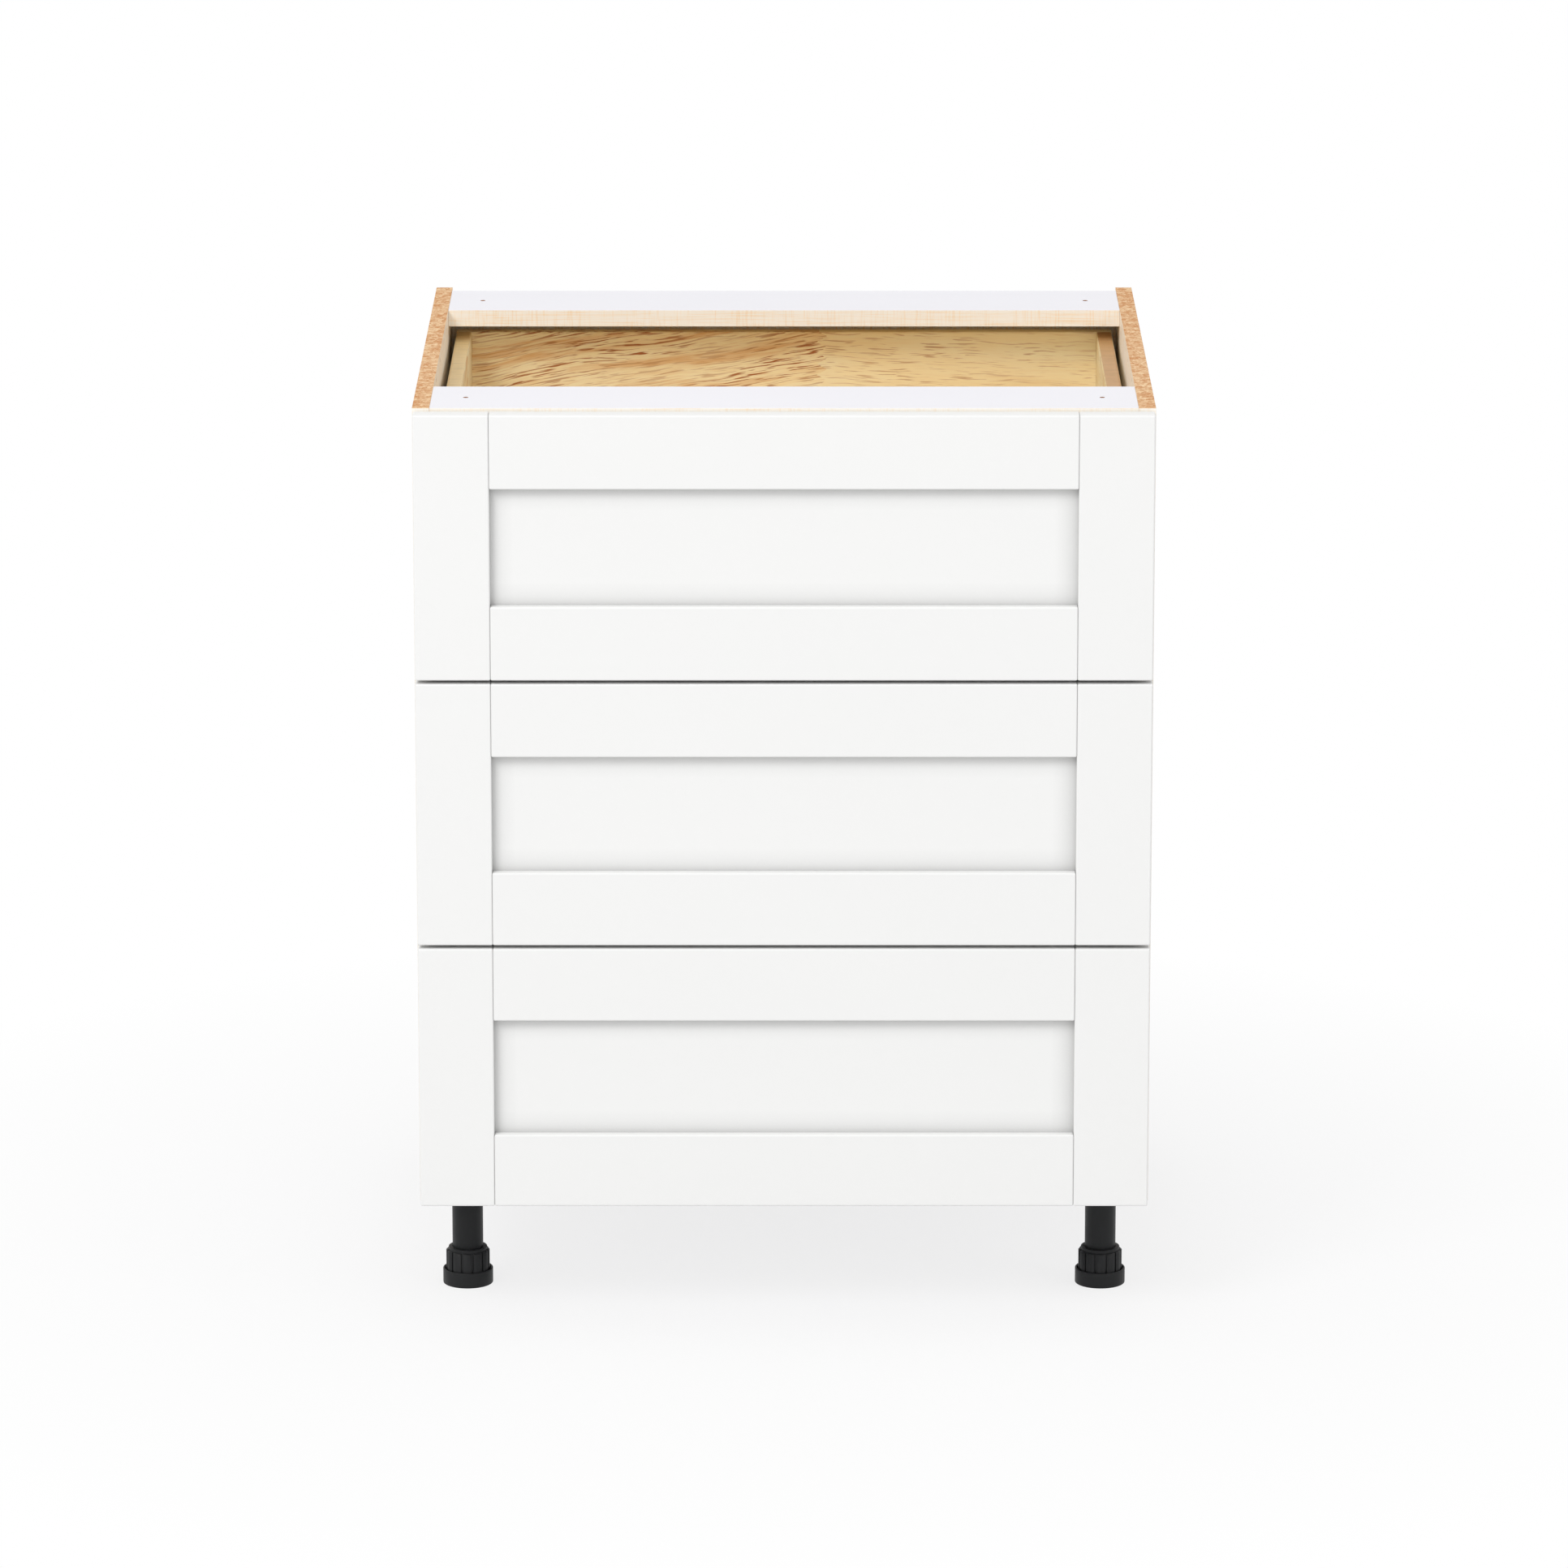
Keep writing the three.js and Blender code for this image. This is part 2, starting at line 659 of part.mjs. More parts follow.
// The back has a notch over each runner, and a hole for the runner's hook.
function boxBack(name) {
  const { outerY, innerY } = BACK_END;
  const tools = SIDES.flatMap(([, side]) => {
    const [x0, x1] = inOrder(
      side * (boxHalf + OVERCUT),
      side * (innerHalf - drawerRailFar - NOTCH_CLEARANCE),
    );
    return [
      box(x0, x1, innerY - OVERCUT, outerY + OVERCUT, boxLow - OVERCUT, bottomUnderside + GLUE_LINE),
      cylinderY(
        side * (innerHalf - (ridgeNear + ridgeFar) / 2),
        bottomUnderside + HOOK_PIN_HEIGHT,
        HOOK_PIN_RADIUS + RUNNING_GAP,
        outerY - HOOK_PIN_LENGTH - RUNNING_GAP,
        outerY + OVERCUT,
      ),
    ];
  });
  return mesh(name, cut(boxEnd(BACK_END), ...tools), rubberwood);
}

function boxBottom(name) {
  const half = boxInnerHalf + BOX_GROOVE_DEPTH - RUNNING_GAP;
  const edge = BOX_BOARD - BOX_GROOVE_DEPTH + RUNNING_GAP;
  return mesh(
    name,
    box(
      -half,
      half,
      edge,
      boxLength - edge,
      bottomUnderside,
      bottomUnderside + BOX_BOTTOM_THICKNESS,
    ),
    birchPly,
  );
}

// ---------------------------------------------------------------- runners

// The outline of a folded steel strip, from the middle line of its section.
function foldedStrip(corners) {
  const line = corners.map(([u, v]) => new THREE.Vector2(u, v));
  const stations = [];
  const normalOf = (from, to) => {
    const along = to.clone().sub(from).normalize();
    return new THREE.Vector2(-along.y, along.x);
  };
  const last = line.length - 1;
  stations.push([line[0], normalOf(line[0], line[1])]);
  for (let i = 1; i < last; i += 1) {
    const before = normalOf(line[i - 1], line[i]);
    const after = normalOf(line[i], line[i + 1]);
    const turn = Math.sign(before.cross(after));
    const centre = line[i]
      .clone()
      .addScaledVector(before, turn * BEND_RADIUS)
      .addScaledVector(after, turn * BEND_RADIUS);
    for (let step = 0; step <= BEND_STEPS; step += 1) {
      const angle = (turn * (Math.PI / 2) * step) / BEND_STEPS;
      const normal = before.clone().rotateAround(new THREE.Vector2(), angle);
      stations.push([centre.clone().addScaledVector(normal, -turn * BEND_RADIUS), normal]);
    }
  }
  stations.push([line[last], normalOf(line[last - 1], line[last])]);
  const edge = (offset) => stations.map(([p, n]) => p.clone().addScaledVector(n, offset).toArray());
  return [...edge(STEEL / 2), ...edge(-STEEL / 2).reverse()];
}

// Places a section drawn from the side panel's inner face on the left or right of the cabinet.
function onSide(points, side) {
  return polygon(points.map(([across, height]) => [side * (innerHalf - across), height]));
}

function acrossBox(side, near, far, y0, y1, z0, z1) {
  const [x0, x1] = inOrder(side * (innerHalf - near), side * (innerHalf - far));
  return box(x0, x1, y0, y1, z0, z1);
}

// Fixed to the side panel: a flange, a web under the drawer's side, and the ridge the balls run on.
function cabinetRail(name, side) {
  const base = bottomUnderside - RUNNER_DEPTH;
  const ridgeTop =
    bottomUnderside - GLUE_LINE - 2 * STEEL - 2 * BALL_GAP;
  const flangeLine = GLUE_LINE + STEEL / 2;
  const webLine = base + STEEL / 2;
  const strip = foldedStrip([
    [flangeLine, bottomUnderside + FLANGE_RISE],
    [flangeLine, webLine],
    [ridgeNear + STEEL / 2, webLine],
    [ridgeNear + STEEL / 2, ridgeTop - STEEL / 2],
    [ridgeFar - STEEL / 2, ridgeTop - STEEL / 2],
    [ridgeFar - STEEL / 2, base + RIDGE_END_LIFT],
  ]);
  const rail = extrudeY(onSide(strip, side), runnerFrontY, runnerRearY);
  const damper = acrossBox(
    side,
    ridgeFar - STEEL / 2,
    ridgeFar + DAMPER_WIDTH,
    runnerRearY - DAMPER_LENGTH,
    runnerRearY - STEEL,
    base,
    base + DAMPER_HEIGHT,
  );
  const screwSpan = runnerLength - 2 * RUNNER_SCREW_MARGIN;
  const screwHoles = Array.from({ length: RUNNER_SCREW_COUNT }, (_, i) => {
    const [x0, x1] = inOrder(side * (innerHalf + OVERCUT), side * (innerHalf - BOX_SIDE_CLEARANCE));
    return cylinderX(
      runnerFrontY + RUNNER_SCREW_MARGIN + (screwSpan * i) / (RUNNER_SCREW_COUNT - 1),
      bottomUnderside - BOX_BOTTOM_RECESS / 2,
      RUNNER_SCREW_RADIUS,
      x0,
      x1,
    );
  });
  return mesh(name, cut(join(rail, damper), ...screwHoles), zincSteel);
}

// A row of balls in its cage, drawn as one round bar between two profiles.
function ballTrack(side, face, outward, height, y0, y1) {
  const radius = (BALL_GAP - RUNNING_GAP + BALL_TRACK_BITE) / 2;
  const across = face + outward * (radius - BALL_TRACK_BITE);
  return cylinderY(side * (innerHalf - across), height, radius, y0, y1, TRACK_SIDES);
}

// Between the other two, and travels half as far as the drawer. The balls to the drawer's rail lie
// in its front half and those to the cabinet's rail in its rear half, so that both stay in mesh.
function middleRail(name, side) {
  const top = bottomUnderside - GLUE_LINE - STEEL - BALL_GAP;
  const low = top - MIDDLE_RAIL_HEIGHT;
  const near = middleRailNear + STEEL / 2;
  const far = middleRailFar - STEEL / 2;
  const strip = foldedStrip([
    [near, low],
    [near, top - STEEL / 2],
    [far, top - STEEL / 2],
    [far, low],
  ]);
  const rail = extrudeY(onSide(strip, side), runnerFrontY, runnerRearY);
  const trackLength = BALL_TRACK_SHARE * runnerLength;
  const outerHeight = bottomUnderside - DRAWER_RAIL_HEIGHT / 2 - BALL_GAP / 2;
  const innerHeight = low + BALL_GAP;
  const outer = [runnerFrontY + STEEL, runnerFrontY + trackLength];
  const inner = [runnerRearY - trackLength, runnerRearY - STEEL];
  return mesh(
    name,
    join(
      rail,
      ballTrack(side, middleRailNear, -1, outerHeight, ...outer),
      ballTrack(side, middleRailFar, 1, outerHeight, ...outer),
      ballTrack(side, middleRailNear + STEEL, 1, innerHeight, ...inner),
      ballTrack(side, middleRailFar - STEEL, -1, innerHeight, ...inner),
    ),
    zincSteel,
  );
}

// Under the drawer: the profile, its hook through the back, and the clip that locks it at the front.
function drawerRail(name, side) {
  const top = bottomUnderside - GLUE_LINE;
  const low = top - DRAWER_RAIL_HEIGHT;
  const near = drawerRailNear + STEEL / 2;
  const far = drawerRailFar - STEEL / 2;
  const strip = foldedStrip([
    [near, low],
    [near, top - STEEL / 2],
    [far, top - STEEL / 2],
    [far, low],
  ]);
  const rail = extrudeY(onSide(strip, side), runnerFrontY, runnerRearY);

  const hookMiddle = (ridgeNear + ridgeFar) / 2;
  const hook = acrossBox(
    side,
    hookMiddle - HOOK_WIDTH / 2,
    hookMiddle + HOOK_WIDTH / 2,
    boxLength + GLUE_LINE,
    runnerRearY,
    top - STEEL,
    bottomUnderside + HOOK_RISE,
  );
  const pin = cylinderY(
    side * (innerHalf - hookMiddle),
    bottomUnderside + HOOK_PIN_HEIGHT,
    HOOK_PIN_RADIUS,
    boxLength - HOOK_PIN_LENGTH,
    boxLength + GLUE_LINE + STEEL / 2,
  );

  const clipNear = drawerRailFar - STEEL / 2;
  const clipFar = drawerRailFar + CLIP_WIDTH;
  const clipFrontY = BOX_BOARD + GLUE_LINE;
  const clipRearY = clipFrontY + CLIP_LENGTH;
  const r = CLIP_CORNER_RADIUS;
  const clipOutline = onSide(
    [
      [clipNear, clipFrontY],
      [clipFar, clipFrontY],
      ...arcPoints(clipFar - r, clipRearY - r, r, 0, Math.PI / 2, EDGE_STEPS),
      [clipNear, clipRearY],
    ],
    side,
  );
  const clip = extrudeZ(clipOutline, top - CLIP_HEIGHT, top);
  const leverMiddle = (drawerRailFar + clipFar) / 2;
  const leverEnd = clipFrontY + LEVER_WIDTH;
  const leverOutline = onSide(
    [
      ...arcPoints(leverMiddle, leverEnd, LEVER_WIDTH / 2, Math.PI, 2 * Math.PI, 2 * EDGE_STEPS),
      [leverMiddle + LEVER_WIDTH / 2, clipFrontY + LEVER_LENGTH],
      [leverMiddle - LEVER_WIDTH / 2, clipFrontY + LEVER_LENGTH],
    ],
    side,
  );
  const lever = extrudeZ(
    leverOutline,
    top - CLIP_HEIGHT - LEVER_THICKNESS,
    top - CLIP_HEIGHT + LEVER_THICKNESS,
  );
  return mesh(name, join(rail, hook, pin, clip, lever), zincSteel);
}

// ---------------------------------------------------------------- assembly

function drawer(name) {
  const group = new THREE.Group();
  group.add(
    frontFrame(`${name}_front_frame`),
    frontPanel(`${name}_front_panel`),
    boxFront(`${name}_box_front`),
    boxBack(`${name}_box_back`),
    boxBottom(`${name}_box_bottom`),
  );
  for (const [label, side] of SIDES) {
    group.add(
      boxSide(`${name}_box_side_${label}`, side),
      cabinetRail(`${name}_cabinet_rail_${label}`, side),
      middleRail(`${name}_middle_rail_${label}`, side),
      drawerRail(`${name}_drawer_rail_${label}`, side),
    );
  }
  return group;
}

const cabinet = new THREE.Group();
cabinet.add(carcass(), legs());
DRAWER_NAMES.forEach((name, index) => {
  const unit = drawer(name);
  unit.position.set(
    0,
    frontBackY,
    LEG_HEIGHT + BOTTOM_REVEAL + index * (frontHeight + FRONT_GAP),
  );
  cabinet.add(unit);
});

export default cabinet;
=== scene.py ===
"""Finishes and fine shapes of a frameless base cabinet: three painted drawers, runners and levelling legs."""

import math

import bmesh
import bpy
from bpy.props import FloatProperty, FloatVectorProperty, IntProperty, PointerProperty
from bpy.types import Operator, Panel, PropertyGroup
from mathutils import Matrix, Vector


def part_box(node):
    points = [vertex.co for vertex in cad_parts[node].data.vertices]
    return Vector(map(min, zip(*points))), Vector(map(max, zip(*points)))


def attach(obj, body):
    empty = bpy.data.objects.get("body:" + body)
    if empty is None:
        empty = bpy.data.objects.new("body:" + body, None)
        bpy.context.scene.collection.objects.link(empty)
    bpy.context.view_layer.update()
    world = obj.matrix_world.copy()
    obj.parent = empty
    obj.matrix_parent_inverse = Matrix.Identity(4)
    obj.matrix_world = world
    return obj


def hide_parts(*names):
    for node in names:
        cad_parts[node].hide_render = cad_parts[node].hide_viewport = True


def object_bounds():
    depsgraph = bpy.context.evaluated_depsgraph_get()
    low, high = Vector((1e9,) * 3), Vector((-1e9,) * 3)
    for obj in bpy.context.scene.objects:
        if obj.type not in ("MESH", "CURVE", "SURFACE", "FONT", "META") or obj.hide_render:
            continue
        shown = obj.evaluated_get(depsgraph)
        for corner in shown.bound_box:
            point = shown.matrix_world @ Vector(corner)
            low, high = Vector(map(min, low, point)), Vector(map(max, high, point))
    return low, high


bl_info = {
    "name": "Base cabinet with drawers",
    "version": (1, 0, 0),
    "blender": (4, 5, 0),
    "location": "3D View > Sidebar > Cabinet",
    "description": "Finishes and fine shapes of a frameless kitchen base cabinet with drawers",
    "category": "Object",
}

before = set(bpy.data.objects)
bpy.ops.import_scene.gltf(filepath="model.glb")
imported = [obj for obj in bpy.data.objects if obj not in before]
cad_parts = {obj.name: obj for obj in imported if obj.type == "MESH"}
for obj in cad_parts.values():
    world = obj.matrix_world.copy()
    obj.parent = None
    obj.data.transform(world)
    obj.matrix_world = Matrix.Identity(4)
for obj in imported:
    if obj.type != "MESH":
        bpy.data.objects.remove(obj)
CAD_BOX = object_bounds()

DRAWERS = ("lower", "middle", "upper")
SIDES = (("left", -1), ("right", 1))
LEGS = tuple(f"{row}_{label}" for row in ("front", "rear") for label, _ in SIDES)
MM = 0.001
TOUCH = 0.01 * MM
WELD = 0.001 * MM
FLAT = math.radians(0.5)
FACING = 0.95
UP = Vector((0, 0, 1))
DOWN = Vector((0, 0, -1))
BACKWARDS = Vector((0, 1, 0))


def srgb(red, green, blue):
    """A colour of 0 to 255 as Blender's linear one."""

    def linear(value):
        share = value / 255
        return share / 12.92 if share <= 0.04045 else ((share + 0.055) / 1.055) ** 2.4

    return (linear(red), linear(green), linear(blue))


def colour(name, description, default):
    """A colour setting in the sidebar."""
    return FloatVectorProperty(
        name=name, description=description, default=default, subtype="COLOR", min=0, max=1
    )


def amount(name, description, default, **more):
    """A number in the sidebar, in Blender's own units."""
    return FloatProperty(name=name, description=description, default=default, min=0, **more)


def length(name, description, millimetres):
    """A size setting in the sidebar, given in millimetres."""
    return amount(name, description, millimetres * MM, unit="LENGTH", precision=5)


# ---------------------------------------------------------------- settings


class FinishColours(PropertyGroup):
    """The colours of the cabinet's finishes."""

    paint: colour("Paint", "Lacquer on the drawer fronts", srgb(240, 240, 239))
    white_board: colour("White laminate", "Outer faces of the carcass boards", srgb(243, 242, 247))
    maple_light: colour("Maple, light", "Light tone of the maple-look laminate", srgb(255, 251, 242))
    maple_dark: colour("Maple, dark", "Lines in the maple-look laminate", srgb(251, 226, 192))
    chip_light: colour("Chips, light", "Light chips on a cut edge", srgb(246, 214, 170))
    chip_dark: colour("Chips, dark", "Dark chips on a cut edge", srgb(204, 140, 84))
    wood_light: colour("Drawer wood, light", "Light tone of the drawer boxes", srgb(255, 245, 206))
    wood_mid: colour("Drawer wood, middle", "Middle tone of the drawer boxes", srgb(254, 234, 184))
    wood_streak: colour("Drawer wood, streak", "Broad brown streaks in some staves", srgb(229, 182, 122))
    wood_fleck: colour("Drawer wood, fleck", "Dark flecks in the drawer boxes", srgb(172, 100, 48))
    # The two tones differ: the left is lighter, partly as painted light that offsets the shade the left side
    # panels cast on these edges.
    edge_left: colour("Left upper edge", "Upper edges of the left drawer sides", srgb(240, 210, 152))
    edge_right: colour("Right upper edge", "Upper edges of the right drawer sides", srgb(206, 162, 110))
    plywood: colour("Plywood", "Face of the drawer bottoms", srgb(232, 198, 144))
    zinc: colour("Zinc plate", "Runners and screws", srgb(196, 199, 202))
    black: colour("Black plastic", "Legs", srgb(33, 34, 35))
    grey: colour("Grey plastic", "Clips and dampers of the runners", srgb(128, 131, 134))
    bumper: colour("Bumper", "Soft pads behind the drawer fronts", srgb(214, 214, 208))


class FrontSizes(PropertyGroup):
    """Sizes of the drawer fronts."""

    stile: length("Stile width", "Width of the upright boards", 69.9)
    rail: length("Rail width", "Height of the level boards", 69.9)
    outer_round: length("Outer rounding", "Radius of the front's outer edges", 1.8)
    panel_edge: length("Panel edge", "Broken edge of the recessed panel", 0.5)
    seam_round: length("Joint rounding", "Radius of the edges at the joints between the boards", 1.6)
    bumper_radius: length("Bumper radius", "Radius of the soft pads", 4)
    bumper_inset: length("Bumper inset", "From the front's upper and lower edges", 16)
    screw_reach: length("Screw spacing", "From the middle to the screws that hold the front", 210)
    low_screw: amount("Lower screw", "Share of the drawer box's height", 0.3, max=1)
    high_screw: amount("Upper screw", "Share of the drawer box's height", 0.78, max=1)


class BoardSizes(PropertyGroup):
    """Sizes of the boards' edges."""

    carcass_edge: length("Carcass edge", "Broken edge of the laminated boards", 0.35)
    box_edge: length("Box edge", "Broken edge of the drawer boards", 0.5)
    stave: length("Stave", "Height of the staves in a drawer board", 92)
    stave_base: length("Stave base", "Height above the floor that the staves count from", 18)
    block: length("Block", "Length of the finger-jointed blocks in a stave", 380)
    finger: length("Finger", "Length of the fingers between two blocks", 10)
    finger_pitch: length("Finger pitch", "From one finger to the next", 11)


class LegSizes(PropertyGroup):
    """Sizes of the levelling legs."""

    tube_radius: length("Tube radius", "Outside of the tube", 14.7)
    tube_wall: length("Tube wall", "Wall of the tube", 2.5)
    tube_end: length("Tube end", "Open end of the tube above the floor", 12)
    tube_round: length("Tube rounding", "Radius of the tube's and the flange's edges", 0.8)
    flange_radius: length("Flange radius", "Outside of the screw flange", 36)
    flange_thickness: length("Flange thickness", "Thickness of the screw flange", 4)
    socket_radius: length("Socket radius", "Outside of the tube's socket", 20)
    socket_height: length("Socket height", "Height of the tube's socket", 24)
    socket_taper: length("Socket taper", "How much narrower the socket is at its lower end", 3)
    gusset_thickness: length("Gusset thickness", "Thickness of the ribs under the flange", 2.6)
    gusset_margin: length("Gusset margin", "From a rib to the flange's and the socket's edges", 3)
    overlap: length("Overlap", "How deep a rib is sunk into its neighbours", 1)
    screw_circle: length("Screw circle", "Radius of the circle of screws", 28.5)
    grip_radius: length("Grip radius", "Outside of the adjuster's grips", 20.8)
    grip_depth: length("Grip depth", "How far the grips stand out", 1.6)
    grip_gap: length("Grip gap", "Groove between two grips", 2)
    grip_top: length("Grip top", "Top of the grips above the floor", 33)
    grip_chamfer: length("Grip chamfer", "Of the grips' upper edges", 0.8)
    grip_overlap: length("Grip overlap", "How deep a grip is sunk into the ring", 0.4)
    grip_swell: length("Grip swell", "How much a grip's middle stands out from its edges", 0.7)
    clearance: length("Clearance", "Between the tube and the adjuster", 0.3)
    ring_step: length("Ring step", "From the grips' top down to the ring's", 0.5)
    ring_round: length("Ring rounding", "Radius of the ring's and the collar's edges", 0.4)
    collar_radius: length("Collar radius", "Outside of the adjuster's collar", 18.4)
    foot_radius: length("Foot radius", "Outside of the foot", 23.9)
    foot_wall: length("Foot wall", "Wall of the foot's rim", 2)
    foot_floor: length("Foot floor", "Thickness of the foot's base", 3)
    foot_round: length("Foot rounding", "Radius of the foot's edges", 0.9)
    spigot_gap: length("Spigot gap", "Between the foot's spigot and the tube", 0.7)
    spigot_height: length("Spigot height", "Of the spigot on the foot's base", 5)
    screw_radius: length("Screw head radius", "Radius of a flange screw's head", 3.4)
    grips: IntProperty(name="Grips", description="Number of grips round the adjuster", default=12, min=3)
    sides: IntProperty(name="Sides", description="Facets round a leg", default=72, min=12)


class RunnerSizes(PropertyGroup):
    """Sizes of the runners."""

    bend: length("Bend", "Broken edge of the folded steel", 0.2)
    screw_margin: length("Screw margin", "From a runner's end to its first screw", 37)
    screw_drop: length("Screw drop", "From the flange's upper edge to the screws", 10.5)
    screw_radius: length("Screw head radius", "Radius of a pan head", 3.6)
    clip_length: length("Clip length", "Length of the locking clip", 47)
    steel: length("Steel", "Thickness of the folded steel", 1.5)
    track_radius: length("Ball track radius", "Radius of the balls' cage", 1.65)
    track_bite: length("Ball track bite", "How deep a ball track sits in its profile", 0.6)
    track_drop: length("Ball track drop", "From the middle rail's top to its outer balls", 2.7)
    track_rise: length("Ball track rise", "From the middle rail's lower edge to its inner balls", 3)
    ball_pitch: length("Ball pitch", "From one ball to the next", 9)
    ball_proud: length("Ball height", "How far the balls stand out of their cage", 0.12)
    track_share: amount("Ball track share", "Of the runner's length", 0.46, max=1)
    track_margin: length("Ball track margin", "From a rail's end to its ball track", 1.5)
    clip_inset: length("Clip inset", "From the middle rail to the clip, at least", 5)
    damper_inset: length("Damper inset", "From the middle rail to the damper, at least", 0.1)


class StageSettings(PropertyGroup):
    """Camera and light."""

    camera_distance: amount("Camera distance", "From the drawer fronts", 7.78, unit="LENGTH")
    camera_height: amount("Camera height", "Above the floor", 2.489, unit="LENGTH")
    camera_pitch: amount("Camera pitch", "How far it looks down", math.radians(14.17), subtype="ANGLE")
    lens: amount("Lens", "Focal length", 198.4, unit="CAMERA")
    sensor: amount("Sensor", "Width of the picture in the camera", 36, unit="CAMERA")
    sky: amount("Sky", "Strength of the even light", 0.68)
    key: amount("Key light", "Power of the lamp above on the left", 285, unit="POWER")
    front: amount("Front light", "Power of the lamp in front", 16, unit="POWER")
    top: amount("Top light", "Power of the lamp overhead", 4, unit="POWER")
    side: amount("Side light", "Power of the lamp on the right", 50, unit="POWER")


class CabinetLooks(PropertyGroup):
    """All settings of the cabinet."""

    colours: PointerProperty(type=FinishColours)
    fronts: PointerProperty(type=FrontSizes)
    boards: PointerProperty(type=BoardSizes)
    legs: PointerProperty(type=LegSizes)
    runners: PointerProperty(type=RunnerSizes)
    stage: PointerProperty(type=StageSettings)


def looks():
    """The scene's settings."""
    return bpy.context.scene.cabinet_looks


# ---------------------------------------------------------------- mesh helpers


def place(data):
    """A new object at the origin, from a mesh, a lamp or a camera, with its name."""
    piece = bpy.data.objects.new(data.name, data)
    bpy.context.scene.collection.objects.link(piece)
    return piece


def mesh_from(name, shape, smooth_angle=35):
    """Ends a bmesh as a mesh that is smooth except at its sharp edges."""
    bmesh.ops.recalc_face_normals(shape, faces=shape.faces)
    mesh = bpy.data.meshes.new(name)
    shape.to_mesh(mesh)
    shape.free()
    mesh.shade_smooth()
    mesh.set_sharp_from_angle(angle=math.radians(smooth_angle))
    return mesh


def bevel_layer(shape):
    """The layer that holds each edge's share of the bevel's width."""
    name = "bevel_weight_edge"
    return shape.edges.layers.float.get(name) or shape.edges.layers.float.new(name)


def bevel(piece, width, segments=2):
    """Rounds the weighted edges of a piece."""
    modifier = piece.modifiers.new("Eased edges", "BEVEL")
    modifier.width = width
    modifier.segments = segments
    modifier.limit_method = "WEIGHT"
    modifier.harden_normals = True
    return piece


def add_block(shape, low, high):
    """Adds a rectangular block and returns its vertices."""
    made = bmesh.ops.create_cube(shape, size=1)["verts"]
    for vert in made:
        vert.co = Vector(low[i] if vert.co[i] < 0 else high[i] for i in range(3))
    return made


def add_turned(shape, profile, centre, sides, closed=False):
    """Adds a shape turned about a vertical line through `centre`, from (radius, height) points."""
    turns = [2 * math.pi * i / sides for i in range(sides)]
    rings = []
    for radius, height in profile:
        ring = [
            (centre[0] + radius * math.cos(turn), centre[1] + radius * math.sin(turn), centre[2] + height)
            for turn in turns[: sides if radius > 0 else 1]
        ]
        rings.append([shape.verts.new(spot) for spot in ring])
    if closed:
        rings.append(rings[0])
    for lower, upper in zip(rings, rings[1:]):
        for i in range(sides):
            j = (i + 1) % sides
            corners = [ring[k % len(ring)] for ring, k in ((lower, i), (lower, j), (upper, j), (upper, i))]
            shape.faces.new(list(dict.fromkeys(corners)))


def turned_mesh(name, profile, centre, sides, smooth_angle=35, closed=False):
    """A mesh of one turned shape."""
    shape = bmesh.new()
    add_turned(shape, profile, centre, sides, closed)
    return mesh_from(name, shape, smooth_angle)


def rounded(points, radius, steps=3):
    """Replaces the inner corners of a line of (radius, height) points by arcs."""
    result = [points[0]]
    for before, corner, after in zip(points, points[1:], points[2:]):
        corner = Vector(corner)
        start = corner + (Vector(before) - corner).normalized() * radius
        end = corner + (Vector(after) - corner).normalized() * radius
        for step in range(steps + 1):
            share = step / steps
            point = start.lerp(corner, share).lerp(corner.lerp(end, share), share)
            result.append(tuple(point))
    result.append(points[-1])
    return result


def add_prism(shape, outline, thickness, transform):
    """Adds an upright plate from an outline in X and Z."""
    half = Vector((0, thickness / 2, 0))
    front = [shape.verts.new(transform @ (Vector((x, 0, z)) - half)) for x, z in outline]
    back = [shape.verts.new(transform @ (Vector((x, 0, z)) + half)) for x, z in outline]
    shape.faces.new(front)
    shape.faces.new(back[::-1])
    for i in range(len(outline)):
        j = (i + 1) % len(outline)
        shape.faces.new((front[i], front[j], back[j], back[i]))


def dressed_copy(node, name, edge_width, finish_of, bevel_angle=25):
    """A copy of a CAD node with eased edges. `finish_of` names a face's finish from the side it lies on."""
    low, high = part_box(node)
    shape = bmesh.new()
    shape.from_mesh(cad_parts[node].data)
    bmesh.ops.remove_doubles(shape, verts=shape.verts, dist=WELD)
    bmesh.ops.dissolve_limit(
        shape, angle_limit=FLAT, verts=shape.verts, edges=shape.edges, delimit={"NORMAL"}
    )
    limit = math.radians(bevel_angle)
    layer = bevel_layer(shape)
    for edge in shape.edges:
        edge[layer] = 1.0 if edge.is_manifold and edge.calc_face_angle(0) > limit else 0.0
    finishes = []
    for face in shape.faces:
        key = finish_of(face.normal, face.calc_center_median(), low, high)
        if key not in finishes:
            finishes.append(key)
        face.material_index = finishes.index(key)
        face.smooth = True
    mesh = bpy.data.meshes.new(name)
    shape.to_mesh(mesh)
    shape.free()
    mesh.set_sharp_from_angle(angle=limit)
    for key in finishes:
        mesh.materials.append(finish(key))
    piece = bevel(place(mesh), edge_width)
    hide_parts(node)
    return piece


def outer_side(normal, middle, low, high, reach=0.2 * MM):
    """The side of its box that a face lies on, such as "-X", or "" for a face inside the box."""
    for axis, letter in enumerate("XYZ"):
        for sign, bound, mark in ((-1, low, "-"), (1, high, "+")):
            if normal[axis] * sign > FACING and abs(middle[axis] - bound[axis]) < reach:
                return mark + letter
    return ""


def ride(piece, body):
    """Hands a finished piece to its body."""
    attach(piece, body)
    return piece


# ---------------------------------------------------------------- node trees


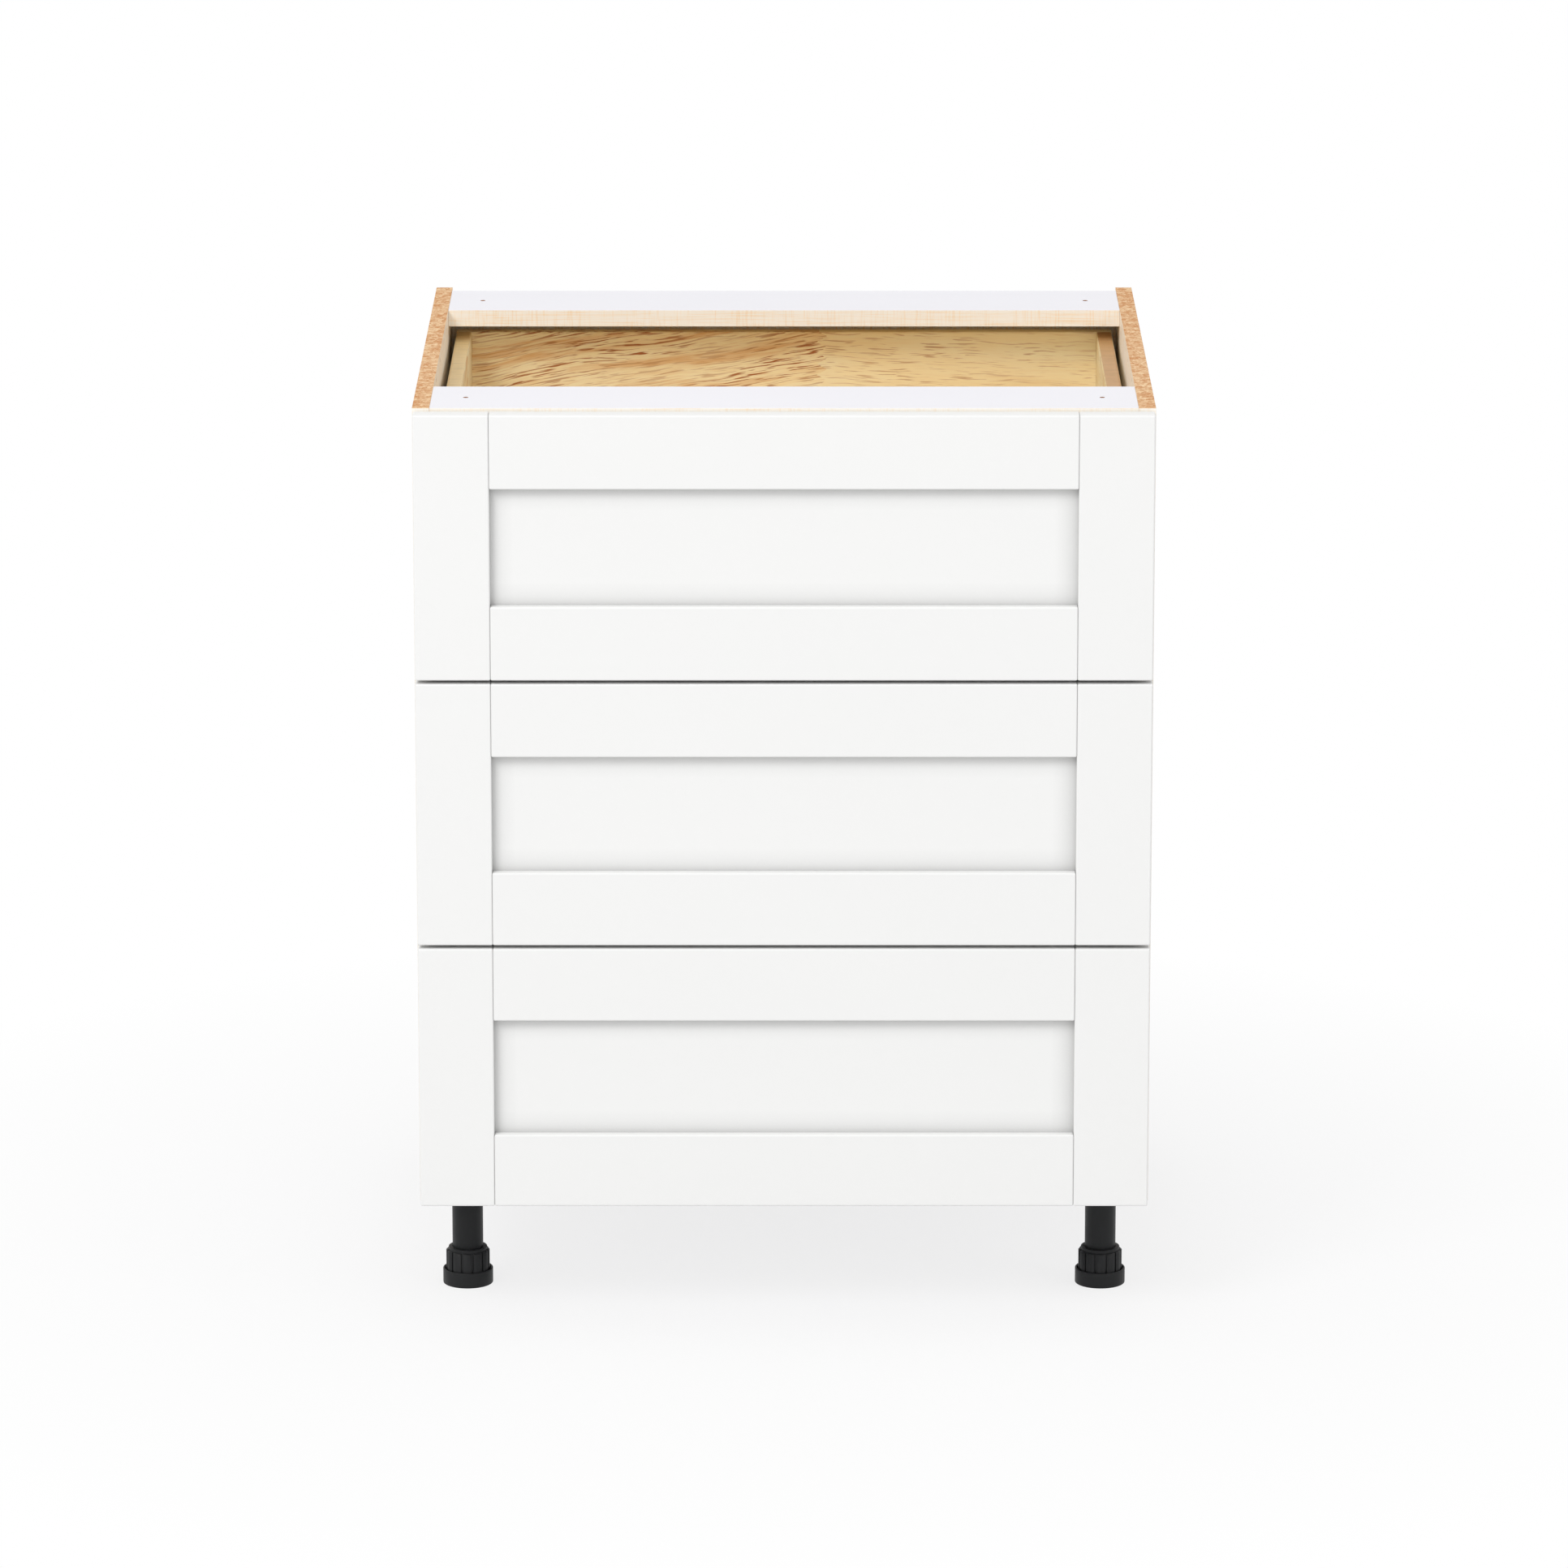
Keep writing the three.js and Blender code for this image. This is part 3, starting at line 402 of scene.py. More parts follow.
class NodeTree:
    """A node tree that is built by calls."""

    def __init__(self, tree):
        self.tree = tree
        tree.nodes.clear()

    def fill(self, socket, value):
        """Gives a socket its value, or links it to another socket."""
        if isinstance(value, Field):
            value = value.socket
        if isinstance(value, bpy.types.NodeSocket):
            self.tree.links.new(value, socket)
        elif socket.type == "RGBA":
            socket.default_value = (*tuple(value)[:3], 1)
        else:
            socket.default_value = value

    def add(self, kind, inputs=None, **settings):
        """Adds a node: its settings first, then its sockets."""
        made = self.tree.nodes.new(kind)
        for key, value in settings.items():
            setattr(made, key, value)
        for key, value in (inputs or {}).items():
            self.fill(made.inputs[key], value)
        return made


class Recipe(NodeTree):
    """A geometry node tree that sets an object, its template, on points and makes plain meshes."""

    def __init__(self, name, **inputs):
        super().__init__(bpy.data.node_groups.new(name, "GeometryNodeTree"))
        sockets = self.tree.interface
        sockets.new_socket(name="Geometry", in_out="OUTPUT", socket_type="NodeSocketGeometry")
        self.identifiers = {}
        for label, kind in {**inputs, "Template": "Object", "Material": "Material"}.items():
            socket = sockets.new_socket(name=label, in_out="INPUT", socket_type=f"NodeSocket{kind}")
            self.identifiers[label] = socket.identifier
        self.inputs = self.add("NodeGroupInput").outputs

    def turn(self, direction, **settings):
        """The rotation that aims an axis of the template along a direction."""
        return self.add("FunctionNodeAlignRotationToVector", {"Vector": direction}, **settings).outputs[0]

    def instances(self, points, rotation, **more):
        """The template on each point."""
        source = {"Object": self.inputs["Template"], "As Instance": True}
        template = self.add("GeometryNodeObjectInfo", source).outputs["Geometry"]
        inputs = {"Points": points, "Instance": template, "Rotation": rotation, **more}
        return self.add("GeometryNodeInstanceOnPoints", inputs).outputs[0]

    def end(self, instances):
        """Ends the tree: plain geometry with one material."""
        plain = self.add("GeometryNodeRealizeInstances", {0: instances}).outputs[0]
        coated = self.add("GeometryNodeSetMaterial", {0: plain, "Material": self.inputs["Material"]})
        self.add("NodeGroupOutput", {0: coated.outputs[0]})

    def make(self, name, points=None, **values):
        """Runs the tree once and returns its plain mesh."""
        carrier = place(points or bpy.data.meshes.new("carrier"))
        modifier = carrier.modifiers.new("Recipe", "NODES")
        modifier.node_group = self.tree
        for label, value in values.items():
            modifier[self.identifiers[label]] = value
        evaluated = carrier.evaluated_get(bpy.context.evaluated_depsgraph_get())
        mesh = bpy.data.meshes.new_from_object(evaluated)
        carrier.modifiers.remove(modifier)
        drop(carrier)
        mesh.name = name
        return mesh


def pattern_recipe():
    """Sets a template on each point of a mesh, with its own Z axis along the point's aim."""
    recipe = Recipe("Set on points", Points="Geometry", Size="Vector")
    aim = recipe.add("GeometryNodeInputNamedAttribute", {"Name": "aim"}, data_type="FLOAT_VECTOR")
    turn = recipe.turn(aim.outputs[0], axis="Z")
    recipe.end(recipe.instances(recipe.inputs["Points"], turn, Scale=recipe.inputs["Size"]))
    return recipe


def ring_recipe():
    """Sets a template round a circle, with its own X axis pointing outwards."""
    recipe = Recipe("Set round a circle", Count="Int", Radius="Float", Centre="Vector")
    size = {"Vertices": recipe.inputs["Count"], "Radius": recipe.inputs["Radius"]}
    circle = recipe.add("GeometryNodeMeshCircle", size).outputs[0]
    outwards = recipe.add("GeometryNodeInputPosition").outputs[0]
    ring = recipe.instances(circle, recipe.turn(outwards, axis="X", pivot_axis="Z"))
    moved = recipe.add("GeometryNodeTransform", {"Geometry": ring, "Translation": recipe.inputs["Centre"]})
    recipe.end(moved.outputs[0])
    return recipe


def aimed_points(name, places):
    """A mesh of loose points, each with the direction that its template faces."""
    mesh = bpy.data.meshes.new(name)
    mesh.from_pydata([spot for spot, _ in places], [], [])
    attribute = mesh.attributes.new("aim", "FLOAT_VECTOR", "POINT")
    for item, (_, aim) in zip(attribute.data, places):
        item.vector = aim
    return mesh


def scatter(name, body, slot, template, places, finish_name, radius, height=None):
    """One mesh with a copy of the template at each (place, direction), from its radius and height."""
    size = Vector((radius, radius, height or radius))
    points = aimed_points(name, places)
    mesh = pattern_recipe().make(name, points, Template=template, Size=size, Material=finish(finish_name))
    ride(place(mesh), body)


def drop(helper):
    """Removes an object that only helped to make others, with its mesh."""
    bpy.data.meshes.remove(helper.data)


def pan_head():
    """A template of a pan-head screw of unit radius, with a cross recess."""
    shank = [(0, -0.3), (0.9, -0.3)]
    dome = [(1, -0.05), (0.96, 0.16), (0.78, 0.42), (0.5, 0.55), (0.36, 0.58)]
    recess = [(0.12, 0.2), (0, 0.2)]
    shape = bmesh.new()
    add_turned(shape, shank + dome + recess, (0, 0, 0), 16)
    for turn in (0, math.pi / 2):
        blade = add_block(shape, (-0.52, -0.1, 0.25), (0.52, 0.1, 0.585))
        bmesh.ops.rotate(shape, verts=blade, cent=(0, 0, 0), matrix=Matrix.Rotation(turn, 3, "Z"))
    return place(mesh_from("pan_head_template", shape, 40))


def scatter_screws(name, body, places, radius):
    """Pan-head screws of plated steel."""
    template = pan_head()
    scatter(name, body, "zinc_steel", template, places, "zinc_plate", radius)
    drop(template)


def ball():
    """A template of a steel ball of unit radius."""
    shape = bmesh.new()
    bmesh.ops.create_icosphere(shape, subdivisions=2, radius=1)
    return place(mesh_from("ball_template", shape, 80))


def soft_pad():
    """A template of a bumper of unit radius and height, flat on its back."""
    profile = rounded([(0, 0), (1, 0), (0.9, 0.98), (0, 1)], 0.12)
    return place(turned_mesh("soft_pad_template", profile, (0, 0, 0), 20, 50))


# ---------------------------------------------------------------- finishes


class Field:
    """A shader socket in an expression: each operator adds the node that works it out."""

    def __init__(self, finish, socket):
        self.finish = finish
        self.socket = socket

    def _math(self, operation, *terms):
        return self.finish.node("ShaderNodeMath", dict(enumerate(terms)), operation=operation)

    def __add__(self, other):
        return self._math("ADD", self, other)

    __radd__ = __add__

    def __sub__(self, other):
        return self._math("SUBTRACT", self, other)

    def __rsub__(self, other):
        return self._math("SUBTRACT", other, self)

    def __mul__(self, other):
        return self._math("MULTIPLY", self, other)

    __rmul__ = __mul__

    def floor(self):
        """The whole number below."""
        return self._math("FLOOR", self)

    def fraction(self):
        """What is left over the whole number below."""
        return self._math("FRACT", self)

    def size(self):
        """The value without its sign."""
        return self._math("ABSOLUTE", self)

    def between(self, low, high):
        """0 below `low`, 1 above `high`, and smooth between them."""
        inputs = {"Value": self, "From Min": low, "From Max": high}
        return self.finish.node("ShaderNodeMapRange", inputs, interpolation_type="SMOOTHSTEP")


class Finish(NodeTree):
    """A material of one Principled shader that reads the object's own coordinates."""

    def __init__(self, name):
        self.material = bpy.data.materials.new(name)
        self.material.use_nodes = True
        super().__init__(self.material.node_tree)
        self.shader = self.add("ShaderNodeBsdfPrincipled")
        self.add("ShaderNodeOutputMaterial", {"Surface": self.shader.outputs[0]})
        self.spot = self.node("ShaderNodeTexCoord", output="Object")

    def node(self, kind, inputs=None, output=0, **settings):
        """Adds a node and returns one of its outputs."""
        return Field(self, self.add(kind, inputs, **settings).outputs[output])

    def set(self, socket, value):
        """Sets or links a socket of the shader."""
        self.fill(self.shader.inputs[socket], value)

    def axis(self, number):
        """The coordinate along X, Y or Z."""
        return self.node("ShaderNodeSeparateXYZ", {0: self.spot}, number)

    def vector(self, *parts):
        """A vector from three fields or numbers."""
        return self.node("ShaderNodeCombineXYZ", dict(enumerate(parts)))

    def sum(self, first, second):
        """Two vectors added."""
        return self.node("ShaderNodeVectorMath", {0: first, 1: second}, operation="ADD")

    def stretched(self, scale, spot=None):
        """The coordinates, times a scale along each axis."""
        return self.node("ShaderNodeMapping", {"Vector": spot or self.spot, "Scale": scale})

    def along(self, axis, lengthwise, across, spot=None):
        """Coordinates for a pattern that runs along one axis."""
        return self.stretched([lengthwise if i == axis else across for i in range(3)], spot)

    def noise(self, spot, scale=1.0, detail=2.0, roughness=0.5, distortion=0.0):
        """Soft noise of 0 to 1."""
        inputs = {"Vector": spot, "Scale": scale, "Detail": detail}
        return self.node("ShaderNodeTexNoise", {**inputs, "Roughness": roughness, "Distortion": distortion})

    def cells(self, spot, scale=1.0):
        """A random value for each cell of a Voronoi pattern."""
        colours = self.node("ShaderNodeTexVoronoi", {"Vector": spot, "Scale": scale}, "Color")
        return self.node("ShaderNodeSeparateColor", {0: colours})

    def mix(self, share, first, second):
        """A colour between two others."""
        return self.node("ShaderNodeMix", {0: share, 6: first, 7: second}, 2, data_type="RGBA")

    def end(self, tone, roughness, height=None, distance=0.0, strength=1.0):
        """Gives the shader its colour, roughness and bump, and returns the material."""
        self.set("Base Color", tone)
        self.set("Roughness", roughness)
        if height is not None:
            inputs = {"Strength": strength, "Distance": distance, "Height": height}
            self.set("Normal", self.node("ShaderNodeBump", inputs))
        return self.material


def darker(tone, share):
    """A colour times a share, worked out in Python."""
    return tuple(channel * share for channel in tone)


def paint_finish(coat, reach, depth):
    """Satin lacquer with a faint orange peel, and painted shade: its colour is darker in the hollows that are
    `reach` wide, down to `depth` of it.
    """
    tone = looks().colours.paint
    body = coat.mix(coat.noise(coat.spot, 4, 3), darker(tone, 0.985), tone)
    # Painted shade: ambient occlusion darkens the lacquer's colour in recesses, joints and gaps.
    painted_shade_openness = coat.node("ShaderNodeAmbientOcclusion", {"Distance": reach * MM}, "AO", samples=8)
    shaded = coat.mix(painted_shade_openness, darker(tone, depth), body)
    return coat.end(shaded, 0.33 + 0.12 * coat.noise(coat.spot, 45), coat.noise(coat.spot, 520), 0.03 * MM)


def white_board_finish(coat):
    """Matt white laminate with a fine pore texture."""
    tone = looks().colours.white_board
    body = coat.mix(coat.noise(coat.spot, 7), darker(tone, 0.975), tone)
    pores = coat.noise(coat.stretched((300, 1500, 1500)))
    return coat.end(body, 0.42 + 0.14 * coat.noise(coat.spot, 90), pores, 0.03 * MM)


def maple_finish(coat, along, depth=1.0):
    """Maple-look laminate: fine lines along one axis, crossed by fainter ones."""
    colours = looks().colours
    grain = coat.noise(coat.along(along, 16, 760), 1, 3, 0.6)
    cross = coat.noise(coat.along(along, 560, 30), 1, 3, 0.6)
    clouds = coat.noise(coat.along(along, 3, 16), 1, 3)
    lines = 0.75 * grain.between(0.46, 0.68) + 0.55 * cross.between(0.48, 0.7)
    share = (lines * (0.5 + 0.5 * clouds.between(0.2, 0.7)) + 0.2 * clouds) * depth
    body = coat.mix(share, colours.maple_light, colours.maple_dark)
    return coat.end(body, 0.42 + 0.15 * grain, grain, 0.04 * MM)


def chip_finish(coat):
    """Cut particleboard: flat chips of several tones, with open pores between them."""
    colours = looks().colours
    bent = coat.noise(coat.spot, 160) * 1.8
    chips = coat.cells(coat.sum(coat.stretched((210, 150, 300)), coat.vector(bent, bent, bent)))
    fibres = coat.noise(coat.stretched((240, 170, 300)), 1, 3, 0.65, 1.6)
    fine = coat.noise(coat.spot, 1400, 3, 0.7)
    share = 0.7 * chips + 2.4 * fibres + 0.4 * fine - 1.2
    body = coat.mix(share, colours.chip_light, colours.chip_dark)
    return coat.end(body, 0.9, fine + 0.6 * chips, 0.25 * MM, 0.8)


def hole_painted_shade_finish(coat):
    """The wall of a drilled hole: torn chips, darkened well below the chips' dark tone as painted shade
    inside the hole.
    """
    tone = looks().colours.chip_dark
    fine = coat.noise(coat.spot, 1400, 3, 0.7)
    return coat.end(coat.mix(fine, darker(tone, 0.9), darker(tone, 0.4)), 0.95, fine, 0.3 * MM)


def wood_finish(coat, along, start=0.0, shade=1.0, flecked=1.0):
    """Lacquered hardwood staves of finger-jointed blocks: plain ones and ones with streaks and flecks."""
    colours = looks().colours
    boards = looks().boards
    height = coat.axis(2)
    row = ((height - boards.stave_base) * (1 / boards.stave)).floor()
    fingers = ((height * (1 / boards.finger_pitch)).fraction() - 0.5).size() * (2 * boards.finger)
    reach = coat.axis(along) + fingers - start
    block = (reach * (1 / boards.block) + 0.37 * row).floor()
    figured = (0.5 * (block + row + 1)).fraction() * 2
    chance = coat.node("ShaderNodeTexWhiteNoise", {"Vector": coat.vector(block, row, along)}, "Color")
    turn = 0.19 * figured - 0.03
    rotation = coat.vector(0, turn, 0) if along == 0 else coat.vector(turn * -1, 0, 0)
    turned = coat.node("ShaderNodeMapping", {"Vector": coat.spot, "Rotation": rotation})
    wave = 0.016 * coat.noise(coat.along(along, 9, 16, turned))
    fibre = coat.sum(turned, coat.sum(chance, coat.vector(0, 0, wave)))

    def grain(lengthwise, across, **more):
        return coat.noise(coat.along(along, lengthwise, across, fibre), **more)

    figure = grain(3.0, 24, detail=4, roughness=0.6, distortion=1.0)
    streaks = grain(5, 60, detail=3, roughness=0.6, distortion=0.8).between(0.5, 0.66)
    fine = grain(60, 1300, detail=1).between(0.45, 0.75)
    flecks = grain(32, 640, distortion=0.3) + 0.035 * figured
    crowded = grain(7, 34).between(0.36, 0.6)
    tone = figure.between(0.34, 0.66)
    # `shade` makes a darker copy of the wood, painted shade for boards that the lamps light more.
    body = coat.mix(tone, darker(colours.wood_light, shade), darker(colours.wood_mid, shade))
    brown = streaks * (0.13 + 0.62 * figured) + fine * (0.1 + 0.22 * figured)
    body = coat.mix(brown, body, darker(colours.wood_streak, shade))
    marks = flecks.between(0.555, 0.65) * (0.4 + 0.6 * crowded) * (flecked * (0.62 + 0.38 * figured))
    body = coat.mix(marks, body, darker(colours.wood_fleck, shade))
    return coat.end(body, 0.36 + 0.2 * figure, 1 - marks, 0.05 * MM)


def board_edge_finish(coat, key):
    """The eased upper edge of a drawer side, with short lines across the board."""
    tone = getattr(looks().colours, key)
    lines = coat.noise(coat.stretched((40, 480, 40)), 1, 3, 0.6, 0.4)
    clouds = coat.noise(coat.stretched((30, 9, 30)), 1, 3)
    share = 0.6 * lines.between(0.45, 0.7) + 0.5 * clouds
    return coat.end(coat.mix(share, tone, darker(tone, 0.72)), 0.4 + 0.2 * clouds, lines, 0.03 * MM)


def end_grain_finish(coat):
    """The sawn ends of the drawer boards, darker and porous."""
    tone = looks().colours.wood_mid
    rings = coat.noise(coat.stretched((140, 140, 500)), 1, 3, 0.6, 0.6)
    pores = coat.noise(coat.spot, 1600).between(0.56, 0.66)
    body = coat.mix(rings.between(0.35, 0.65), darker(tone, 0.9), darker(tone, 0.62))
    body = coat.mix(0.5 * pores, body, looks().colours.wood_fleck)
    return coat.end(body, 0.5 + 0.2 * rings, 1 - pores, 0.06 * MM)


def plywood_finish(coat):
    """Lacquered plywood face with broad rotary-cut figure."""
    tone = looks().colours.plywood
    figure = coat.noise(coat.stretched((9, 2.4, 9)), 1, 4, 0.6, 1.6)
    fibres = coat.noise(coat.stretched((600, 24, 600)))
    share = (0.7 * figure + 0.3 * fibres).between(0.3, 0.7)
    return coat.end(coat.mix(share, tone, darker(tone, 0.72)), 0.4 + 0.15 * fibres, fibres, 0.03 * MM)


def zinc_finish(coat):
    """Bright zinc plate on rolled steel, with faint drawing lines along the runner."""
    tone = looks().colours.zinc
    coat.set("Metallic", 1)
    lines = coat.noise(coat.stretched((1200, 12, 1200)))
    clouds = coat.noise(coat.spot, 35, 3)
    body = coat.mix(clouds, tone, darker(tone, 0.82))
    return coat.end(body, 0.24 + 0.14 * clouds + 0.1 * lines, lines, 0.01 * MM)


def ball_finish(coat):
    """Ground steel with a trace of grease."""
    tone = looks().colours.zinc
    coat.set("Metallic", 1)
    grease = coat.noise(coat.spot, 400)
    return coat.end(coat.mix(grease, tone, darker(tone, 0.7)), 0.08 + 0.2 * grease)


def plastic_finish(coat, key, roughness=0.42):
    """Moulded plastic with a fine spark-eroded texture."""
    tone = getattr(looks().colours, key)
    clouds = coat.noise(coat.spot, 60)
    coat.set("Specular IOR Level", 0.2)
    body = coat.mix(clouds, tone, darker(tone, 0.86))
    return coat.end(body, roughness + 0.1 * clouds, coat.noise(coat.spot, 1800), 0.02 * MM)


FINISHES = {
    # Both paints carry painted shade: narrow and dark in the fronts' gaps and joints, wide and soft in the
    # panels' recessed edges.
    "front_paint": (paint_finish, 4, 0.7),
    "panel_paint": (paint_finish, 22, 0.34),
    "white_boards": (white_board_finish,),
    "maple_upright": (maple_finish, 2),
    "maple_level": (maple_finish, 0),
    "maple_edge_upright": (maple_finish, 2, 0.4),
    "maple_edge_level": (maple_finish, 0, 0.75),
    "cut_chipboard": (chip_finish,),
    "drilled_hole": (hole_painted_shade_finish,),
    # The side boards' copy is 0.88 times as dark, painted shade offsetting the stronger light on them; the
    # front and back boards keep the full tones.
    "drawer_wood_x": (wood_finish, 0, 0.027),
    "drawer_wood_y": (wood_finish, 1, 0.11, 0.88, 0.4),
    "drawer_edge_left": (board_edge_finish, "edge_left"),
    "drawer_edge_right": (board_edge_finish, "edge_right"),
    "drawer_end_grain": (end_grain_finish,),
    "drawer_plywood": (plywood_finish,),
    "zinc_plate": (zinc_finish,),
    "ball_steel": (ball_finish,),
    "leg_plastic": (plastic_finish, "black"),
    "clip_plastic": (plastic_finish, "grey", 0.35),
    "bumper_plastic": (plastic_finish, "bumper", 0.25),
}


def finish(name):
    """The material of that name, made when it is first asked for; no slot in the record has such a name."""
    make, *values = FINISHES[name]
    return bpy.data.materials.get(name) or make(Finish(name), *values)


# ---------------------------------------------------------------- carcass

CARCASS_FACES = {
    "side_panel_left": {"-X": "white_boards", "+X": "maple_upright", "-Y": "maple_edge_upright"},
    "side_panel_right": {"+X": "white_boards", "-X": "maple_upright", "-Y": "maple_edge_upright"},
    "bottom_panel": {"-Z": "white_boards", "+Z": "maple_level", "-Y": "maple_edge_level"},
    "back_panel": {"+Y": "white_boards", "-Y": "maple_upright"},
    "front_stretcher": {
        "+Z": "white_boards",
        "-Z": "maple_level",
        "-Y": "maple_edge_level",
        "+Y": "maple_level",
    },
    "rear_stretcher": {"+Z": "white_boards", "-Z": "maple_level", "-Y": "maple_level"},
}


class CABINET_OT_carcass(Operator):
    """Laminated boards of the carcass, with bare cut edges"""

    bl_idname = "cabinet.carcass"
    bl_label = "Carcass boards"

    def execute(self, context):
        for node, faces in CARCASS_FACES.items():

            def finish_of(*face, faces=faces):
                side = outer_side(*face)
                return faces.get(side, "cut_chipboard" if side else "drilled_hole")

            piece = dressed_copy(node, f"{node}_board", looks().boards.carcass_edge, finish_of)
            ride(piece, "carcass")
        return {"FINISHED"}


# ---------------------------------------------------------------- drawer fronts


def add_front_board(shape, low, high, frame_low, frame_high):
    """Adds a stile or rail: full rounding on the face's outer edges, a finer one on all others."""
    sizes = looks().fronts
    layer = bevel_layer(shape)
    for edge in {edge for vert in add_block(shape, low, high) for edge in vert.link_edges}:
        middle = (edge.verts[0].co + edge.verts[1].co) / 2
        bounds = [(axis, bound[axis]) for axis in (0, 2) for bound in (frame_low, frame_high)]
        outer = any(abs(middle[axis] - bound) < TOUCH for axis, bound in bounds)
        on_face = abs(middle.y - frame_low.y) < TOUCH
        edge[layer] = 1.0 if outer and on_face else sizes.seam_round / sizes.outer_round


def front_frame(drawer):
    """The four boards round the panel, butted with eased joints."""
    sizes = looks().fronts
    low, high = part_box(f"{drawer}_front_frame")
    left, right = low.x + sizes.stile, high.x - sizes.stile
    boards = (
        ((low.x, low.z), (left, high.z)),
        ((right, low.z), (high.x, high.z)),
        ((left, low.z), (right, low.z + sizes.rail)),
        ((left, high.z - sizes.rail), (right, high.z)),
    )
    shape = bmesh.new()
    bevel_layer(shape)
    for (x0, z0), (x1, z1) in boards:
        add_front_board(shape, (x0, low.y, z0), (x1, high.y, z1), low, high)
    mesh = mesh_from(f"{drawer}_front_boards", shape)
    mesh.materials.append(finish("front_paint"))
    piece = bevel(place(mesh), sizes.outer_round, 4)
    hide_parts(f"{drawer}_front_frame")
    return piece


class CABINET_OT_fronts(Operator):
    """Painted drawer fronts with a recessed panel"""

    bl_idname = "cabinet.fronts"
    bl_label = "Drawer fronts"

    def execute(self, context):
        for drawer in DRAWERS:
            ride(front_frame(drawer), f"{drawer}_drawer")
            node, name = f"{drawer}_front_panel", f"{drawer}_recessed_panel"
            panel = dressed_copy(node, name, looks().fronts.panel_edge, lambda *face: "panel_paint")
            ride(panel, f"{drawer}_drawer")
        return {"FINISHED"}


def both_sides(reach, y, rows):
    """Places that face backwards, left and right of the middle, at each height."""
    return [(Vector((side * reach, y, z)), BACKWARDS) for _, side in SIDES for z in rows]


class CABINET_OT_bumpers(Operator):
    """Soft pads between the drawer fronts and the carcass"""

    bl_idname = "cabinet.bumpers"
    bl_label = "Bumpers"

    def execute(self, context):
        sizes = looks().fronts
        side_low, side_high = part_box("side_panel_right")
        reach = (side_low.x + side_high.x) / 2
        template = soft_pad()
        for drawer in DRAWERS:
            low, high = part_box(f"{drawer}_front_frame")
            rows = (low.z + sizes.bumper_inset, high.z - sizes.bumper_inset)
            places = both_sides(reach, high.y, rows)
            name, body = f"{drawer}_bumpers", f"{drawer}_drawer"
            size = (sizes.bumper_radius, side_low.y - high.y)
            scatter(name, body, "black_plastic", template, places, "bumper_plastic", *size)
        drop(template)
        return {"FINISHED"}


# ---------------------------------------------------------------- drawer boxes


class CABINET_OT_boxes(Operator):
    """Dovetailed hardwood drawer boxes with plywood bottoms"""

    bl_idname = "cabinet.boxes"
    bl_label = "Drawer boxes"

    def execute(self, context):
        edge = looks().boards.box_edge

        def side_face(edge_name):
            def face_finish(normal, *rest):
                if normal.z > 0.5:
                    return edge_name
                return "drawer_end_grain" if outer_side(normal, *rest) in ("-Y", "+Y") else "drawer_wood_y"

            return face_finish

        def end_face(*face):
            return "drawer_end_grain" if outer_side(*face) in ("-X", "+X") else "drawer_wood_x"

        boards = {
            "box_side_left": (side_face("drawer_edge_left"), "rubberwood"),
            "box_side_right": (side_face("drawer_edge_right"), "rubberwood"),
            "box_front": (end_face, "rubberwood"),
            "box_back": (end_face, "rubberwood"),
            "box_bottom": (lambda *face: "drawer_plywood", "birch_ply"),
        }
        for drawer in DRAWERS:
            for board, (finish_of, slot) in boards.items():
                node = f"{drawer}_{board}"
                ride(dressed_copy(node, f"{node}_board", edge, finish_of), f"{drawer}_drawer")
        return {"FINISHED"}


class CABINET_OT_front_screws(Operator):
    """Screws that hold each drawer front to its box"""

    bl_idname = "cabinet.front_screws"
    bl_label = "Front screws"

    def execute(self, context):
        sizes = looks().fronts
        for drawer in DRAWERS:
            low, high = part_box(f"{drawer}_box_front")
            rows = [low.z + share * (high.z - low.z) for share in (sizes.low_screw, sizes.high_screw)]
            places = both_sides(sizes.screw_reach, high.y, rows)
            radius = looks().runners.screw_radius
            scatter_screws(f"{drawer}_front_screws", f"{drawer}_drawer", places, radius)
        return {"FINISHED"}


# ---------------------------------------------------------------- runners


def part_plastic(edge, side, inset, reach):
    """Steel, but plastic further in than `inset` from the middle rail and within `reach` of the front."""

    def finish_of(normal, middle, low, high):
        plastic = (edge - middle.x) * side > inset and middle.y < low.y + reach
        return "clip_plastic" if plastic else "zinc_plate"

    return finish_of


class CABINET_OT_runners(Operator):
    """Folded steel runners with their clips and dampers"""

    bl_idname = "cabinet.runners"
    bl_label = "Runners"

    def execute(self, context):
        sizes = looks().runners
        for drawer in DRAWERS:
            rails = (
                ("cabinet_rail", "carcass", sizes.damper_inset, math.inf),
                ("middle_rail", f"{drawer}_middle_rails", math.inf, 0),
                ("drawer_rail", f"{drawer}_drawer", sizes.clip_inset, sizes.clip_length),
            )
            for label, side in SIDES:
                low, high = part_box(f"{drawer}_middle_rail_{label}")
                edge = low.x if side > 0 else high.x
                for rail, body, *limits in rails:
                    node = f"{drawer}_{rail}_{label}"
                    finish_of = part_plastic(edge, side, *limits)
                    ride(dressed_copy(node, f"{node}_steel", sizes.bend, finish_of, 50), body)
        return {"FINISHED"}


def ball_places(node):
    """The balls of one middle rail: outside it in its front half and inside it in its rear half."""
    sizes = looks().runners
    low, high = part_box(node)
    reach = sizes.track_share * (high.y - low.y)
    outside = sizes.track_radius
    inside = 3 * sizes.track_radius + sizes.steel - 2 * sizes.track_bite
    halves = (
        (outside, high.z - sizes.track_drop, low.y + sizes.track_margin, low.y + reach),
        (inside, low.z + sizes.track_rise, high.y - reach, high.y - sizes.track_margin),
    )
    places = []
    for across, z, start, end in halves:
        count = int((end - start) / sizes.ball_pitch)
        margin = (end - start - (count - 1) * sizes.ball_pitch) / 2
        for x in (low.x + across, high.x - across):
            for i in range(count):
                places.append((Vector((x, start + margin + i * sizes.ball_pitch, z)), UP))
    return places


